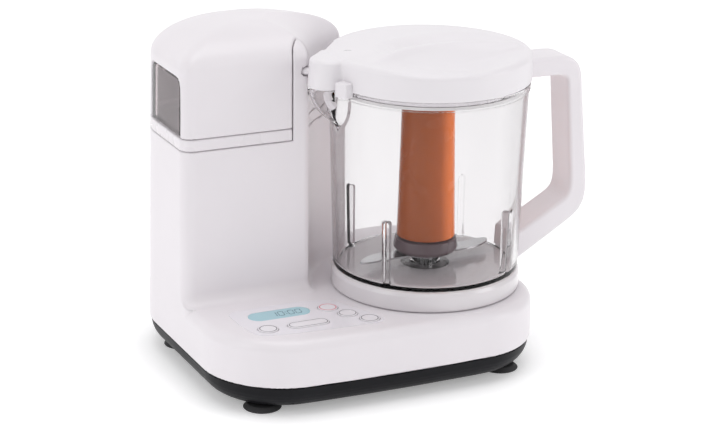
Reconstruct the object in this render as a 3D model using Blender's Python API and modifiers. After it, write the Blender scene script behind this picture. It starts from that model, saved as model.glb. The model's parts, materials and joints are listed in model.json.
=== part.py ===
"""Baby food maker: a steamer and blender on one base.

The water tank sits on the tower at the left, the bowl sits on the platform at
the right.  Units are metres, +Z is up, the front faces -Y.  The origin is on
the table under the middle of the whole object.  Most shapes are written
relative to the middle of the base and hang from the empty "base_centre".
"""
import math
import bpy
import bmesh
from mathutils import Matrix, Vector

MM = 0.001

# ---------------------------------------------------------------- dimensions (mm)
BASE_CENTRE = (-24.88, 1.72)          # middle of the base seen from the origin
BASE_HX, BASE_HY = 113.4, 94.3      # half width and half depth of the base
BASE_R = 50.4                       # corner radius of the base
BASE_BOW = 5.0                      # how far the front bulges
SHELL_Z0 = 20.0                     # lower edge of the white shell
PLATFORM_Z = 50.0                   # top of the platform
PLATFORM_FILLET = 7.0
WALL = 2.5
GAP = 0.35

BOWL = (50.25, -26.45)              # bowl and drive axis
TOWER_FRONT = -12.0
TOWER_CLEAR_R = 78.0                # concave face of the tower around the bowl
TOWER_BACK_ARC = (-50.0, 14.5, 78.0)
TOWER_Z0, TOWER_H, TOWER_EXP = 199.8, 24.4, 2.2
TOWER_MID = (-50.0, 38.0)
SHELF_Z = 151.6                     # where the tank unit rests
BAND_Z = (151.9, 159.4)
COVER_Z = 159.8

MOTOR = (-33.0, 46.0)
BOILER = (-84.0, 34.0)
POST = (-30.3, -5.2)                # steam pipe up the corner post
TANK_PORT = (-78.0, 40.0)
BELT_RATIO = 3.0

RIM_Z, GLASS_Z0 = 189.2, 63.3
COLLAR_Z0, COLLAR_Z1 = 50.35, 63.0
LID_Z0, LID_Z1 = 189.6, 208.5
EAR = (-22.5, -23.0, 10.0)          # rounded end of the lid's ear

# ---------------------------------------------------------------- scene and helpers
for o in list(bpy.data.objects):
    bpy.data.objects.remove(o, do_unlink=True)

scene_root = bpy.context.scene.collection
parts = bpy.data.collections.new("baby_food_maker")
tools = bpy.data.collections.new("cutters")
scene_root.children.link(parts)
scene_root.children.link(tools)
tools.hide_render = True


def empty(name, x, y, z=0.0, parent=None):
    e = bpy.data.objects.new(name, None)
    e.location = (x * MM, y * MM, z * MM)
    e.parent = parent
    parts.objects.link(e)
    return e


base_centre = empty("base_centre", *BASE_CENTRE)
bowl_axis = empty("bowl_axis", BOWL[0], BOWL[1], 0, base_centre)
motor_axis = empty("motor_axis", MOTOR[0], MOTOR[1], 0, base_centre)
bpy.context.view_layer.update()


def material(name, colour, rough, metal=0.0, alpha=1.0, transmission=0.0):
    m = bpy.data.materials.get(name)
    if m is None:
        m = bpy.data.materials.new(name)
        m.use_nodes = True
        b = m.node_tree.nodes["Principled BSDF"]
        b.inputs["Base Color"].default_value = (*colour, 1.0)
        b.inputs["Roughness"].default_value = rough
        b.inputs["Metallic"].default_value = metal
        b.inputs["Alpha"].default_value = alpha
        b.inputs["Transmission Weight"].default_value = transmission
        m.diffuse_color = (*colour, alpha)
    return m


WHITE = material("white_plastic", (0.86, 0.83, 0.85), 0.32)
BLACK = material("black_plastic", (0.03, 0.03, 0.035), 0.45)
RUBBER = material("grey_rubber", (0.18, 0.18, 0.19), 0.7)
SILICONE = material("white_silicone", (0.75, 0.75, 0.74), 0.6)
SMOKE = material("smoke_plastic", (0.30, 0.27, 0.27), 0.15, 0, 0.7)
GLASS = material("clear_glass", (0.92, 0.94, 0.94), 0.03, 0, 0.35, 0.9)
COLLAR = material("pale_grey_plastic", (0.62, 0.60, 0.61), 0.3)
AMBER = material("amber_plastic", (0.75, 0.25, 0.06), 0.25, 0, 0.9)
DARK = material("dark_plastic", (0.06, 0.05, 0.06), 0.35)
STEEL = material("brushed_steel", (0.60, 0.60, 0.61), 0.25, 1.0)
ALU = material("cast_aluminium", (0.66, 0.67, 0.68), 0.4, 1.0)
COPPER = material("copper_winding", (0.60, 0.28, 0.12), 0.35, 1.0)
BRASS = material("brass", (0.70, 0.52, 0.22), 0.3, 1.0)
GREEN = material("circuit_green", (0.03, 0.20, 0.09), 0.5)
LCD = material("lcd_cyan", (0.35, 0.62, 0.68), 0.2)
KEY = material("key_white", (0.84, 0.82, 0.84), 0.35)
PANEL = material("panel_white", (0.83, 0.81, 0.84), 0.22)


def finish(obj, name, mat, smooth=35.0):
    """Names an object, files it with the parts and shades it."""
    for c in list(obj.users_collection):
        c.objects.unlink(obj)
    parts.objects.link(obj)
    obj.name = name
    obj.data.name = name
    obj.data.materials.clear()
    obj.data.materials.append(mat)
    obj.data.shade_smooth()
    obj.data.set_sharp_from_angle(angle=math.radians(smooth))
    return obj


def cutter(obj, name):
    for c in list(obj.users_collection):
        c.objects.unlink(obj)
    tools.objects.link(obj)
    obj.name = name
    obj.hide_render = True
    obj.display_type = "WIRE"
    return obj


def from_bmesh(bm, name, parent):
    bmesh.ops.recalc_face_normals(bm, faces=bm.faces)
    me = bpy.data.meshes.new(name)
    bm.to_mesh(me)
    bm.free()
    o = bpy.data.objects.new(name, me)
    o.parent = parent
    tools.objects.link(o)
    return o


def loft(name, rings, parent=base_centre):
    """A closed body through rings of equal point count, each ring a list of (x, y, z) in mm."""
    bm = bmesh.new()
    loops = [[bm.verts.new([c * MM for c in q]) for q in r] for r in rings]
    n = len(rings[0])
    for a, b in zip(loops[:-1], loops[1:]):
        for i in range(n):
            j = (i + 1) % n
            bm.faces.new((a[i], a[j], b[j], b[i]))
    bm.faces.new(loops[0][::-1])
    bm.faces.new(loops[-1])
    bmesh.ops.triangulate(bm, faces=bm.faces)
    return from_bmesh(bm, name, parent)


def plate(name, outline, z0, z1, parent=base_centre, holes=(), bevel=0.0, segments=2):
    """A flat outline, with holes, extruded from z0 to z1 (a filled 2D curve made mesh)."""
    cu = bpy.data.curves.new(name, "CURVE")
    cu.dimensions = "2D"
    cu.fill_mode = "BOTH"
    cu.extrude = (z1 - z0) / 2 * MM
    for pts in (outline, *holes):
        s = cu.splines.new("POLY")
        s.points.add(len(pts) - 1)
        for p, q in zip(s.points, pts):
            p.co = (q[0] * MM, q[1] * MM, 0, 1)
        s.use_cyclic_u = True
    c = bpy.data.objects.new(name + "_curve", cu)
    c.location = (0, 0, (z0 + z1) / 2 * MM)
    c.parent = parent
    tools.objects.link(c)
    bpy.context.view_layer.update()
    me = bpy.data.meshes.new_from_object(c.evaluated_get(bpy.context.evaluated_depsgraph_get()))
    bm = bmesh.new()
    bm.from_mesh(me)
    bmesh.ops.remove_doubles(bm, verts=bm.verts, dist=1e-6)
    bmesh.ops.translate(bm, verts=bm.verts, vec=(0, 0, (z0 + z1) / 2 * MM))
    bpy.data.objects.remove(c, do_unlink=True)
    bpy.data.meshes.remove(me)
    o = from_bmesh(bm, name, parent)
    if bevel:
        m = o.modifiers.new("edges", "BEVEL")
        m.width = bevel * MM
        m.segments = segments
        m.limit_method = "ANGLE"
        m.angle_limit = math.radians(50)
    return o


def turned(name, profile, parent=base_centre, x=0.0, y=0.0, z=0.0, steps=32):
    """A profile of (radius, height) in mm, listed outer side top to bottom, spun about Z.
    It is closed on the axis, or closed into a ring when it ends where it started."""
    ring = profile[0] == profile[-1]
    pts = profile[:-1] if ring else profile
    me = bpy.data.meshes.new(name)
    n = len(pts)
    edges = [(i, (i + 1) % n) for i in range(n if ring else n - 1)]
    me.from_pydata([(r * MM, 0, h * MM) for r, h in pts], edges, [])
    o = bpy.data.objects.new(name, me)
    o.parent = parent
    o.location = (x * MM, y * MM, z * MM)
    tools.objects.link(o)
    m = o.modifiers.new("turn", "SCREW")
    m.angle = math.tau
    m.steps = steps
    m.render_steps = steps
    m.use_merge_vertices = True
    m.merge_threshold = 0.00001
    m.use_normal_calculate = False
    return o


def box(name, lo, hi, parent=base_centre, bevel=0.0):
    bpy.ops.mesh.primitive_cube_add(size=1.0)
    o = bpy.context.object
    o.parent = parent
    bm = bmesh.new()
    bm.from_mesh(o.data)
    for v in bm.verts:
        for k in range(3):
            v.co[k] = (lo[k] if v.co[k] < 0 else hi[k]) * MM
    bm.to_mesh(o.data)
    bm.free()
    o.name = name
    if bevel:
        m = o.modifiers.new("edges", "BEVEL")
        m.width = bevel * MM
        m.segments = 2
    return o


def cyl(name, x, y, z0, z1, r, parent=base_centre, n=24, r2=None):
    bpy.ops.mesh.primitive_cone_add(vertices=n, radius1=r * MM, radius2=(r if r2 is None else r2) * MM,
                                    depth=(z1 - z0) * MM, location=(0, 0, 0))
    o = bpy.context.object
    o.parent = parent
    o.location = (x * MM, y * MM, (z0 + z1) / 2 * MM)
    o.name = name
    return o


def tube(name, points, radius, parent=base_centre, res=2, mat=None):
    cu = bpy.data.curves.new(name, "CURVE")
    cu.dimensions = "3D"
    cu.bevel_depth = radius * MM
    cu.bevel_resolution = res
    cu.use_fill_caps = True
    s = cu.splines.new("POLY")
    s.points.add(len(points) - 1)
    for p, q in zip(s.points, points):
        p.co = (q[0] * MM, q[1] * MM, q[2] * MM, 1)
    c = bpy.data.objects.new(name + "_curve", cu)
    tools.objects.link(c)
    bpy.context.view_layer.update()
    me = bpy.data.meshes.new_from_object(c.evaluated_get(bpy.context.evaluated_depsgraph_get()))
    bm = bmesh.new()
    bm.from_mesh(me)
    bmesh.ops.remove_doubles(bm, verts=bm.verts, dist=1e-6)
    bpy.data.objects.remove(c, do_unlink=True)
    bpy.data.meshes.remove(me)
    return from_bmesh(bm, name, parent)


def smooth_path(ctrl, steps=5):
    """Catmull-Rom points through a few control points."""
    q = [Vector(c) for c in ctrl]
    q = [2 * q[0] - q[1]] + q + [2 * q[-1] - q[-2]]
    out = []
    for i in range(1, len(q) - 2):
        for k in range(steps):
            t = k / steps
            out.append(0.5 * ((2 * q[i]) + (q[i + 1] - q[i - 1]) * t
                              + (2 * q[i - 1] - 5 * q[i] + 4 * q[i + 1] - q[i + 2]) * t * t
                              + (3 * q[i] - q[i - 1] - 3 * q[i + 1] + q[i + 2]) * t ** 3))
    out.append(q[-2])
    return [tuple(v) for v in out]


def boolean(obj, tool, how="DIFFERENCE", solver="EXACT"):
    if tool.name not in tools.objects or not tool.hide_render:
        cutter(tool, tool.name)
    m = obj.modifiers.new(how.lower(), "BOOLEAN")
    m.operation = how
    m.solver = solver
    m.object = tool
    return obj


def circle(x, y, r, n=24, a0=0.0, a1=360.0):
    full = abs(a1 - a0) >= 360
    m = n if full else n - 1
    return [(x + r * math.cos(math.radians(a0 + (a1 - a0) * i / m)),
             y + r * math.sin(math.radians(a0 + (a1 - a0) * i / m))) for i in range(n)]


# ---------------------------------------------------------------- outlines
def base_outline(inset=0.0, per_corner=9):
    """Rounded rectangle whose front bulges gently; counterclockwise from the right."""
    hx, hy, r = BASE_HX - inset, BASE_HY - inset, max(BASE_R - inset, 4.0)
    pts = []
    for cx, cy, a in ((hx - r, hy - r, 0), (-hx + r, hy - r, 90), (-hx + r, -hy + r, 180), (hx - r, -hy + r, 270)):
        pts += circle(cx, cy, r, per_corner, a, a + 90)
        if a == 180:
            pts += [(x, -hy) for x in (-35.0, -12.0, 12.0, 35.0)]
    out = []
    for x, y in pts:
        if y < 0:
            y -= BASE_BOW * (1 - min(1.0, abs(x) / BASE_HX) ** 2)
        out.append((x, y))
    return out


def tower_outline(z, inset=0.0, flare=0.0):
    """Outline of the tower at height z, counterclockwise from its front left corner."""
    t = min(max((z - PLATFORM_Z) / 150.0, 0.0), 1.0)
    x0 = -BASE_HX + 2.1 * t + inset
    yb = BASE_HY - 3.9 * t - inset
    rbl = BASE_R - inset
    yf = TOWER_FRONT + 2.5 * t + inset - flare
    rf = max(8.0 - inset, 3.0)
    rc = TOWER_CLEAR_R + inset - 0.5 * flare
    ax, ay, ar = TOWER_BACK_ARC[0], TOWER_BACK_ARC[1], TOWER_BACK_ARC[2] - inset
    bx, by = BOWL
    pts = circle(x0 + rf, yf + rf, rf, 4, 180, 270)
    xe = bx - math.sqrt(rc ** 2 - (yf - by) ** 2)
    pts += [(x0 + rf + (xe - 4 - x0 - rf) * k / 4, yf) for k in range(1, 4)]
    a0 = math.degrees(math.atan2(yf - by, xe - bx))
    d = math.hypot(ax - bx, ay - by)
    m = (rc ** 2 - ar ** 2 + d * d) / (2 * d)
    h = math.sqrt(rc ** 2 - m * m)
    ux, uy = (ax - bx) / d, (ay - by) / d
    ex, ey = bx + m * ux + h * uy, by + m * uy - h * ux
    fx, fy = bx + m * ux - h * uy, by + m * uy + h * ux
    if fy > ey:
        ex, ey = fx, fy
    a1 = math.degrees(math.atan2(ey - by, ex - bx))
    pts += [(xe - 3.0, yf), (xe + 0.6, yf + 2.2)]
    pts += circle(bx, by, rc, 11, a0 - 3.5, a1 + 3.5)
    b0 = math.degrees(math.atan2(ey - ay, ex - ax))
    pts += circle(ax, ay, ar, 9, b0 + 4.0, 90)
    pts += circle(x0 + rbl, yb - rbl, rbl, 10, 96, 180)
    return pts


def tower_rings(z_start, inset=0.0, top_inset=None, flare=True, z_top=None):
    """Rings for the tower: straight draft, then a domed top."""
    top_inset = inset if top_inset is None else top_inset
    rings = []
    levels = [z_start]
    if flare and z_start < PLATFORM_Z:
        levels += [PLATFORM_Z + 0.5, PLATFORM_Z + 2.2, PLATFORM_Z + 5.0]
    levels += [PLATFORM_Z + 8.0, TOWER_Z0] if z_start < PLATFORM_Z else [TOWER_Z0]
    for z in levels:
        if z_top is not None and z > z_top:
            rings.append([(x, y, z_top) for x, y in tower_outline(z_top, inset)])
            return rings
        f = 0.0
        if flare and z <= PLATFORM_Z + 8.0:
            u = min(max((PLATFORM_Z + 8.0 - z) / 8.0, 0.0), 1.0)
            f = 8.0 * (1 - math.sqrt(max(1 - u * u, 0.0)))
        rings.append([(x, y, z) for x, y in tower_outline(z, inset, f)])
    if z_top is not None:
        rings.append([(x, y, z_top) for x, y in tower_outline(z_top, inset)])
        return rings
    top = tower_outline(TOWER_Z0, inset)
    for ang in (18, 36, 54, 72):
        s = math.cos(math.radians(ang))
        z = TOWER_Z0 + (TOWER_H - top_inset) * (1 - s ** TOWER_EXP) ** (1 / TOWER_EXP)
        rings.append([(TOWER_MID[0] + (x - TOWER_MID[0]) * s, TOWER_MID[1] + (y - TOWER_MID[1]) * s, z)
                      for x, y in top])
    return rings


def tank_zone(dx=0.0, dy=0.0):
    """Plan of the space that the tank unit takes; its inner corner is the steam post."""
    seam = [(-38.2, -60), (-38.2, -9), (-36, -4), (-31, 1.5), (-24, 7), (-17, 12), (0, 24), (80, 30)]
    return [(-200, -60)] + [(x - dx, y + dy) for x, y in seam] + [(80, 150), (-200, 150)]


# ================================================================ base and tower
housing = loft("housing", [[(x, y, z) for x, y in base_outline(i)] for z, i in
                           ((SHELL_Z0, 0), (PLATFORM_Z - 7, 0), (PLATFORM_Z - 4.3, 0.55),
                            (PLATFORM_Z - 2.0, 2.1), (PLATFORM_Z - 0.5, 4.4), (PLATFORM_Z, 7.0))])
boolean(housing, loft("tower_mass", [[(x, y, z) for x, y in tower_outline(50, -0.3, 6.0)] for z in (12.0, 49.0)]
                      + tower_rings(PLATFORM_Z - 0.6, -0.3)[1:]), "UNION")
boolean(housing, box("below_shell", (-200, -200, 0), (200, 200, SHELL_Z0 + 0.02)))
boolean(housing, plate("tank_zone", tank_zone(), SHELF_Z, 260.0))
boolean(housing, loft("base_cavity", [[(x, y, z) for x, y in base_outline(WALL)] for z in (10.0, 44.0)]
                      + [[(x, y, PLATFORM_Z - WALL) for x, y in base_outline(WALL + 3.0)]]))
boolean(housing, loft("tower_cavity", [[(x, y, z) for x, y in tower_outline(z, WALL)] for z in (40.0, 52.0, 149.0)]))
boolean(housing, cyl("post_bore", POST[0], POST[1], 136.0, 200.0, 3.0, n=16))
# cross bore of the steam outlet, from the post towards the lid's ear
out_dir = Vector((0.743, -0.669, 0.0))
bore = cyl("outlet_bore", 0, 0, -1, 14, 3.4, n=16)
bore.rotation_euler = (math.radians(90), 0, math.atan2(out_dir.y, out_dir.x) + math.radians(90))
bore.location = ((POST[0] + 6.5 * out_dir.x) * MM, (POST[1] + 6.5 * out_dir.y) * MM, 196.0 * MM)
boolean(housing, bore)
boolean(housing, cyl("tank_port_hole", TANK_PORT[0], TANK_PORT[1], 146.0, 155.0, 14.0))
boolean(housing, cyl("drive_hole", BOWL[0], BOWL[1], 44.0, 53.0, 8.2))

PANEL_OUT = [(-93.5, -37.5), (-90.5, -33.0), (-84.0, -31.2), (-46.0, -30.4), (-28.0, -33.0), (-21.5, -38.0),
             (-17.5, -46.0), (-4.6, -74.5), (-4.2, -80.5), (-9.0, -84.6), (-24.0, -83.8), (-60.0, -82.0),
             (-84.5, -78.6), (-89.8, -74.0), (-92.2, -60.0)]
KEYS = {"key_stop": (-29.5, -48.5, 6.4, 6.4), "key_puree": (-22.0, -62.5, 6.4, 6.4),
        "key_blend": (-12.8, -76.0, 6.4, 6.4), "key_steam": (-79.0, -68.6, 6.4, 6.4),
        "key_auto": (-52.0, -69.4, 13.8, 5.2)}
LCD_C, LCD_H = (-62.3, -46.4), (20.8, 7.2)


def grow(pts, d):
    """Moves an outline's points outward by d, away from the outline's middle."""
    n = len(pts)
    out = []
    for i, (x, y) in enumerate(pts):
        (ax, ay), (bx, by) = pts[i - 1], pts[(i + 1) % n]
        tx, ty = bx - ax, by - ay
        l = math.hypot(tx, ty)
        out.append((x - d * ty / l, y + d * tx / l))
    return out


def pill(cx, cy, hx, hy, extra=0.0, n=12):
    """Stadium outline, or a circle when hx equals hy."""
    hx, hy = hx + extra, hy + extra
    s = hx - hy
    if s < 0.01:
        return circle(cx, cy, hx, n)
    return circle(cx + s, cy, hy, n // 2, -90, 90) + circle(cx - s, cy, hy, n // 2, 90, 270)


# the outline runs clockwise, so a positive offset grows it
boolean(housing, plate("panel_pocket", grow(PANEL_OUT, 0.4), PLATFORM_Z - 0.9, PLATFORM_Z + 3))
for k, (x, y, hx, hy) in KEYS.items():
    boolean(housing, plate(k + "_hole", pill(x, y, hx, hy, 0.7), 46.0, 53.0))
boolean(housing, plate("lcd_hole", pill(*LCD_C, *LCD_H, -1.2), 46.0, 53.0))
cord_bore = cyl("cord_bore", -20.0, 93.0, -6.0, 6.0, 5.4, n=24)
cord_bore.rotation_euler = (math.radians(90), 0, 0)
cord_bore.location = (-20.0 * MM, 93.0 * MM, 34.0 * MM)
boolean(housing, cord_bore)
finish(housing, "housing", WHITE, 30)

tray = loft("base_tray", [[(x, y, z) for x, y in base_outline(i)] for z, i in
                          ((3.6, 14.0), (5.2, 9.5), (9.0, 4.6), (14.0, 1.9), (SHELL_Z0 - GAP, 0.6))])
boolean(tray, loft("tray_cavity", [[(x, y, z) for x, y in base_outline(i)] for z, i in
                                   ((6.0, 13.0), (10.0, 7.2), (14.5, 4.4), (24.0, 3.2))]))
SCREWS = {"tray_screw_front_left": (-62, -62), "tray_screw_front_right": (62, -62),
          "tray_screw_rear_left": (-62, 62), "tray_screw_rear_right": (62, 62)}
for k, (x, y) in SCREWS.items():
    boolean(tray, cyl(k + "_hole", x, y, 1.0, 12.0, 2.3, n=16))
for k in range(6):
    boolean(tray, box("vent_%d" % k, (-52.0 + 7 * k, 28.0, 1.0), (-49.0 + 7 * k, 62.0, 9.0)))
finish(tray, "base_tray", BLACK, 30)

for name, (x, y) in SCREWS.items():
    s = turned(name, [(0.0, 15.0), (1.9, 14.2), (1.9, 3.2), (3.8, 3.2), (3.6, 1.9), (0.0, 1.5)], x=x, y=y, steps=8)
    finish(s, name, STEEL)

FEET = {"foot_front_left": (-84, -71), "foot_front_right": (84, -71),
        "foot_rear_left": (-92, 49), "foot_rear_right": (92, 49)}
for name, (x, y) in FEET.items():
    d = math.hypot(x, y)
    # the tray rises outward, so each foot stands under it with a short neck
    f = turned(name, [(0.0, 3.25), (4.0, 3.25), (9.5, 3.1), (12.4, 0.4), (12.0, 0.0), (0.0, 0.0)], x=x, y=y, steps=18)
    finish(f, name, RUBBER)

# ---------------------------------------------------------------- control panel
panel_holes = [pill(x, y, hx, hy, 0.35) for x, y, hx, hy in KEYS.values()] + [pill(*LCD_C, *LCD_H, 0.3)]
panel = plate("control_panel", PANEL_OUT, PLATFORM_Z - 0.55, PLATFORM_Z + 0.25, holes=panel_holes)
finish(panel, "control_panel", PANEL)
lens = plate("lcd_lens", pill(*LCD_C, *LCD_H), PLATFORM_Z - 0.55, PLATFORM_Z + 0.3)
finish(lens, "lcd_lens", LCD)
finish(plate("lcd_module", [(-82, -53), (-42, -53), (-42, -40), (-82, -40)], 42.3, 47.0), "lcd_module", DARK)
finish(plate("control_board", [(-92, -76), (-12, -76), (-24, -38), (-92, -38)], 39.5, 41.1), "control_board", GREEN)
for name, (x, y, hx, hy) in KEYS.items():
    k = plate(name, pill(x, y, hx, hy), 0.0, 2.9)
    k.location = (0, 0, 47.9 * MM)
    finish(k, name, KEY)

# ---------------------------------------------------------------- drive train
finish(turned("motor_can", [(26.0, 96.0), (26.0, 31.0), (8.0, 31.0), (8.0, 35.0), (22.0, 35.0), (22.0, 92.0),
                            (8.0, 92.0), (8.0, 96.0), (26.0, 96.0)], parent=motor_axis, steps=20), "motor_can", STEEL)
finish(turned("motor_rotor", [(0.0, 110.0), (3.0, 110.0), (3.0, 88.0), (12.0, 88.0), (12.0, 82.0), (20.0, 78.0),
                              (20.0, 48.0), (12.0, 44.0), (3.0, 44.0), (3.0, 13.0), (0.0, 13.0)],
              parent=motor_axis, steps=16), "motor_rotor", COPPER)
fan = turned("cooling_fan", [(7.0, 108.0), (7.0, 100.0), (3.3, 100.0), (3.3, 108.0), (7.0, 108.0)],
             parent=motor_axis, steps=16)
for k in range(6):
    b = box("fan_blade_%d" % k, (5.5, -0.8, 100.6), (22.0, 0.8, 107.4), parent=motor_axis)
    b.rotation_euler = (0, 0, math.radians(60 * k))
    boolean(fan, b, "UNION")
finish(fan, "cooling_fan", WHITE)
finish(turned("motor_pulley", [(9.6, 22.6), (9.6, 21.6), (8.0, 21.6), (8.0, 15.4), (9.6, 15.4), (9.6, 14.4),
                               (3.3, 14.4), (3.3, 22.6), (9.6, 22.6)], parent=motor_axis, steps=14),
       "motor_pulley", DARK)
finish(turned("drive_pulley", [(25.6, 22.6), (25.6, 21.6), (24.0, 21.6), (24.0, 15.4), (25.6, 15.4), (25.6, 14.4),
                               (4.3, 14.4), (4.3, 22.6), (25.6, 22.6)], parent=bowl_axis, steps=24),
       "drive_pulley", DARK)
finish(turned("drive_shaft", [(0.0, 56.5), (3.2, 56.5), (4.0, 55.7), (4.0, 12.0), (0.0, 12.0)], parent=bowl_axis, steps=20),
       "drive_shaft", STEEL)


def belt_outline(offset):
    """The belt's line around both pulleys, at a distance outside the grooves."""
    (mx, my), (bx, by) = MOTOR, BOWL
    r1, r2 = 8.0 + offset, 24.0 + offset
    d = math.hypot(bx - mx, by - my)
    u = math.degrees(math.atan2(by - my, bx - mx))
    k = math.degrees(math.acos((r1 - r2) / d))
    return circle(mx, my, r1, 12, u + k, u + 360 - k) + circle(bx, by, r2, 22, u - k, u + k)


finish(plate("drive_belt", belt_outline(1.9), 15.8, 21.2, holes=[belt_outline(0.45)]), "drive_belt", RUBBER)


def hull_two(p, r1, q, r2, n=14):
    d = math.hypot(q[0] - p[0], q[1] - p[1])
    u = math.degrees(math.atan2(q[1] - p[1], q[0] - p[0]))
    k = math.degrees(math.acos((r1 - r2) / d))
    return circle(*p, r1, n, u + k, u + 360 - k) + circle(*q, r2, n, u - k, u + k)


finish(plate("motor_bracket", hull_two(MOTOR, 27.0, BOWL, 17.0), 27.2, 30.4,
             holes=[circle(*MOTOR, 6.0, 14), circle(*BOWL, 9.4, 16)]), "motor_bracket", ALU)
finish(turned("lower_bearing", [(9.0, 33.0), (9.0, 25.0), (4.4, 25.0), (4.4, 33.0), (9.0, 33.0)],
              parent=bowl_axis, steps=16), "lower_bearing", BRASS)
finish(turned("upper_bearing", [(7.8, 50.4), (7.8, 47.1), (11.5, 47.1), (11.5, 40.0), (4.4, 40.0), (4.4, 50.4),
                                (7.8, 50.4)], parent=bowl_axis, steps=16), "upper_bearing", BRASS)


def star(r_out, r_in, lobes, n_per=4, phase=0.0):
    pts = []
    for i in range(lobes * n_per):
        a = math.tau * i / (lobes * n_per) + phase
        r = r_in + (r_out - r_in) * (0.5 + 0.5 * math.cos(lobes * a))
        pts.append((r * math.cos(a), r * math.sin(a)))
    return pts


coupler = plate("drive_coupling", star(10.0, 7.6, 6, 6), 51.0, 58.4, parent=bowl_axis, holes=[circle(0, 0, 4.3, 16)])
finish(coupler, "drive_coupling", DARK)

# bowl-present switch, under the platform beside the drive
switch = box("bowl_switch", (50.25 - 46, -26.45 + 14, 34.0), (50.25 - 26, -26.45 + 24, 46.6), bevel=0.6)
finish(switch, "bowl_switch", DARK)
g = turned("cord_grommet", [(7.2, 1.5), (7.2, 0.3), (5.1, 0.3), (5.1, -4.5), (3.2, -4.5), (3.2, 1.5), (7.2, 1.5)], steps=16)
g.rotation_euler = (math.radians(-90), 0, 0)
g.location = (-20.0 * MM, BASE_HY * MM, 34.0 * MM)
finish(g, "cord_grommet", RUBBER)

# ---------------------------------------------------------------- steam system
finish(turned("boiler", [(0.0, 118.0), (8.0, 118.0), (20.0, 114.0), (23.0, 108.0), (23.0, 82.0), (25.0, 82.0),
                         (25.0, 79.0), (0.0, 79.0)], x=BOILER[0], y=BOILER[1], steps=20), "boiler", ALU)
finish(turned("boiler_heater", [(24.0, 78.6), (24.0, 68.0), (6.0, 68.0), (6.0, 78.6), (24.0, 78.6)],
              x=BOILER[0], y=BOILER[1], steps=18), "boiler_heater", STEEL)
finish(tube("water_hose", smooth_path([(TANK_PORT[0], TANK_PORT[1], 136.6), (TANK_PORT[0], TANK_PORT[1], 130),
                                       (TANK_PORT[0] - 4, TANK_PORT[1] - 3, 126),
                                       (BOILER[0], BOILER[1], 121.5), (BOILER[0], BOILER[1], 118.6)], 4), 3.0), "water_hose", SILICONE)
finish(tube("steam_pipe", smooth_path([(BOILER[0] + 15, BOILER[1] - 12, 117.5), (BOILER[0] + 19, BOILER[1] - 16, 124),
                                       (BOILER[0] + 34, BOILER[1] - 26, 130), (POST[0] - 7, POST[1] + 6, 134),
                                       (POST[0] - 1.8, POST[1] + 1.6, 139.5), (POST[0], POST[1], 146), (POST[0], POST[1], 156),
                                       (POST[0], POST[1], 191.6)], 4), 2.3), "steam_pipe", SILICONE)
nozzle = turned("steam_outlet", [(3.1, 6.8), (3.1, 0.0), (1.6, 0.0), (1.6, 6.8), (3.1, 6.8)], steps=16)
nozzle.rotation_euler = (math.radians(90), 0, math.atan2(out_dir.y, out_dir.x) + math.radians(90))
nozzle.location = ((POST[0] + 0.6 * out_dir.x) * MM, (POST[1] + 0.6 * out_dir.y) * MM, 196.0 * MM)
finish(nozzle, "steam_outlet", SILICONE)
finish(turned("tank_socket", [(0.0, 143.0), (1.6, 143.0), (1.6, 139.0), (12.0, 139.0), (12.0, 148.7), (17.0, 148.7),
                              (17.0, 146.4), (13.6, 146.4), (13.6, 137.0), (0.0, 137.0)],
              x=TANK_PORT[0], y=TANK_PORT[1], steps=16), "tank_socket", WHITE)
finish(turned("socket_seal", [(11.7, 145.6), (11.7, 143.6), (10.85, 143.6), (10.85, 145.6), (11.7, 145.6)],
              x=TANK_PORT[0], y=TANK_PORT[1], steps=16), "socket_seal", SILICONE)

# ================================================================ water tank unit
cover = loft("tank_cover", tower_rings(COVER_Z, 0.0))
boolean(cover, loft("cover_inside", tower_rings(COVER_Z - 6, WALL, WALL)))
boolean(cover, plate("cover_zone", tank_zone(0.45, 0.3), 140.0, 260.0), "INTERSECT")
boolean(cover, box("window_hole", (-130, -3.4, COVER_Z - 3), (-104.5, 50.0, 198.0)))
finish(cover, "tank_cover", WHITE, 30)

band = loft("tank_rim", [[(x, y, z) for x, y in tower_outline(z, 0.0)] for z in (BAND_Z[0], BAND_Z[1])])
boolean(band, plate("band_zone", tank_zone(0.45, 0.3), 140.0, 260.0), "INTERSECT")
band_in = loft("band_inside", [[(x, y, z) for x, y in tower_outline(z, WALL + 0.6)] for z in (140.0, 170.0)])
boolean(band_in, plate("band_in_zone", tank_zone(3.4, 2.8), 100.0, 260.0), "INTERSECT")
boolean(band, band_in)
finish(band, "tank_rim", WHITE, 30)

body = loft("tank_body", [[(x, y, z) for x, y in tower_outline(z, WALL + 1.0)] for z in (152.1, 196.0)])
boolean(body, plate("body_zone", tank_zone(3.9, 3.2), 100.0, 260.0), "INTERSECT")
pad = loft("window_pad_mass", [[(x, y, z) for x, y in tower_outline(z, 0.5)] for z in (COVER_Z + 0.45, 197.6)])
boolean(pad, box("window_pad_box", (-130, -2.9, COVER_Z - 5), (-104.0, 49.5, 199.0)), "INTERSECT")
boolean(body, pad, "UNION")
tank_in = loft("tank_inside", [[(x, y, z) for x, y in tower_outline(z, WALL + 3.0)] for z in (154.4, 205.0)])
boolean(tank_in, plate("tank_in_zone", tank_zone(6.0, 5.2), 100.0, 260.0), "INTERSECT")
boolean(body, tank_in)
boolean(body, cyl("tank_outlet", TANK_PORT[0], TANK_PORT[1], 150.0, 158.0, 7.2, n=24))
finish(body, "tank_body", SMOKE, 30)
finish(turned("valve_cap", [(10.5, 151.75), (10.5, 142.0), (3.4, 142.0), (3.4, 145.5), (6.6, 145.5), (6.6, 151.75),
                            (10.5, 151.75)], x=TANK_PORT[0], y=TANK_PORT[1], steps=16), "valve_cap", WHITE)
plunger = turned("valve_plunger", [(0.0, 6.0), (6.0, 6.0), (6.0, 4.2), (2.4, 3.4), (2.4, 0.0), (0.0, 0.0)], steps=20)
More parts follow.
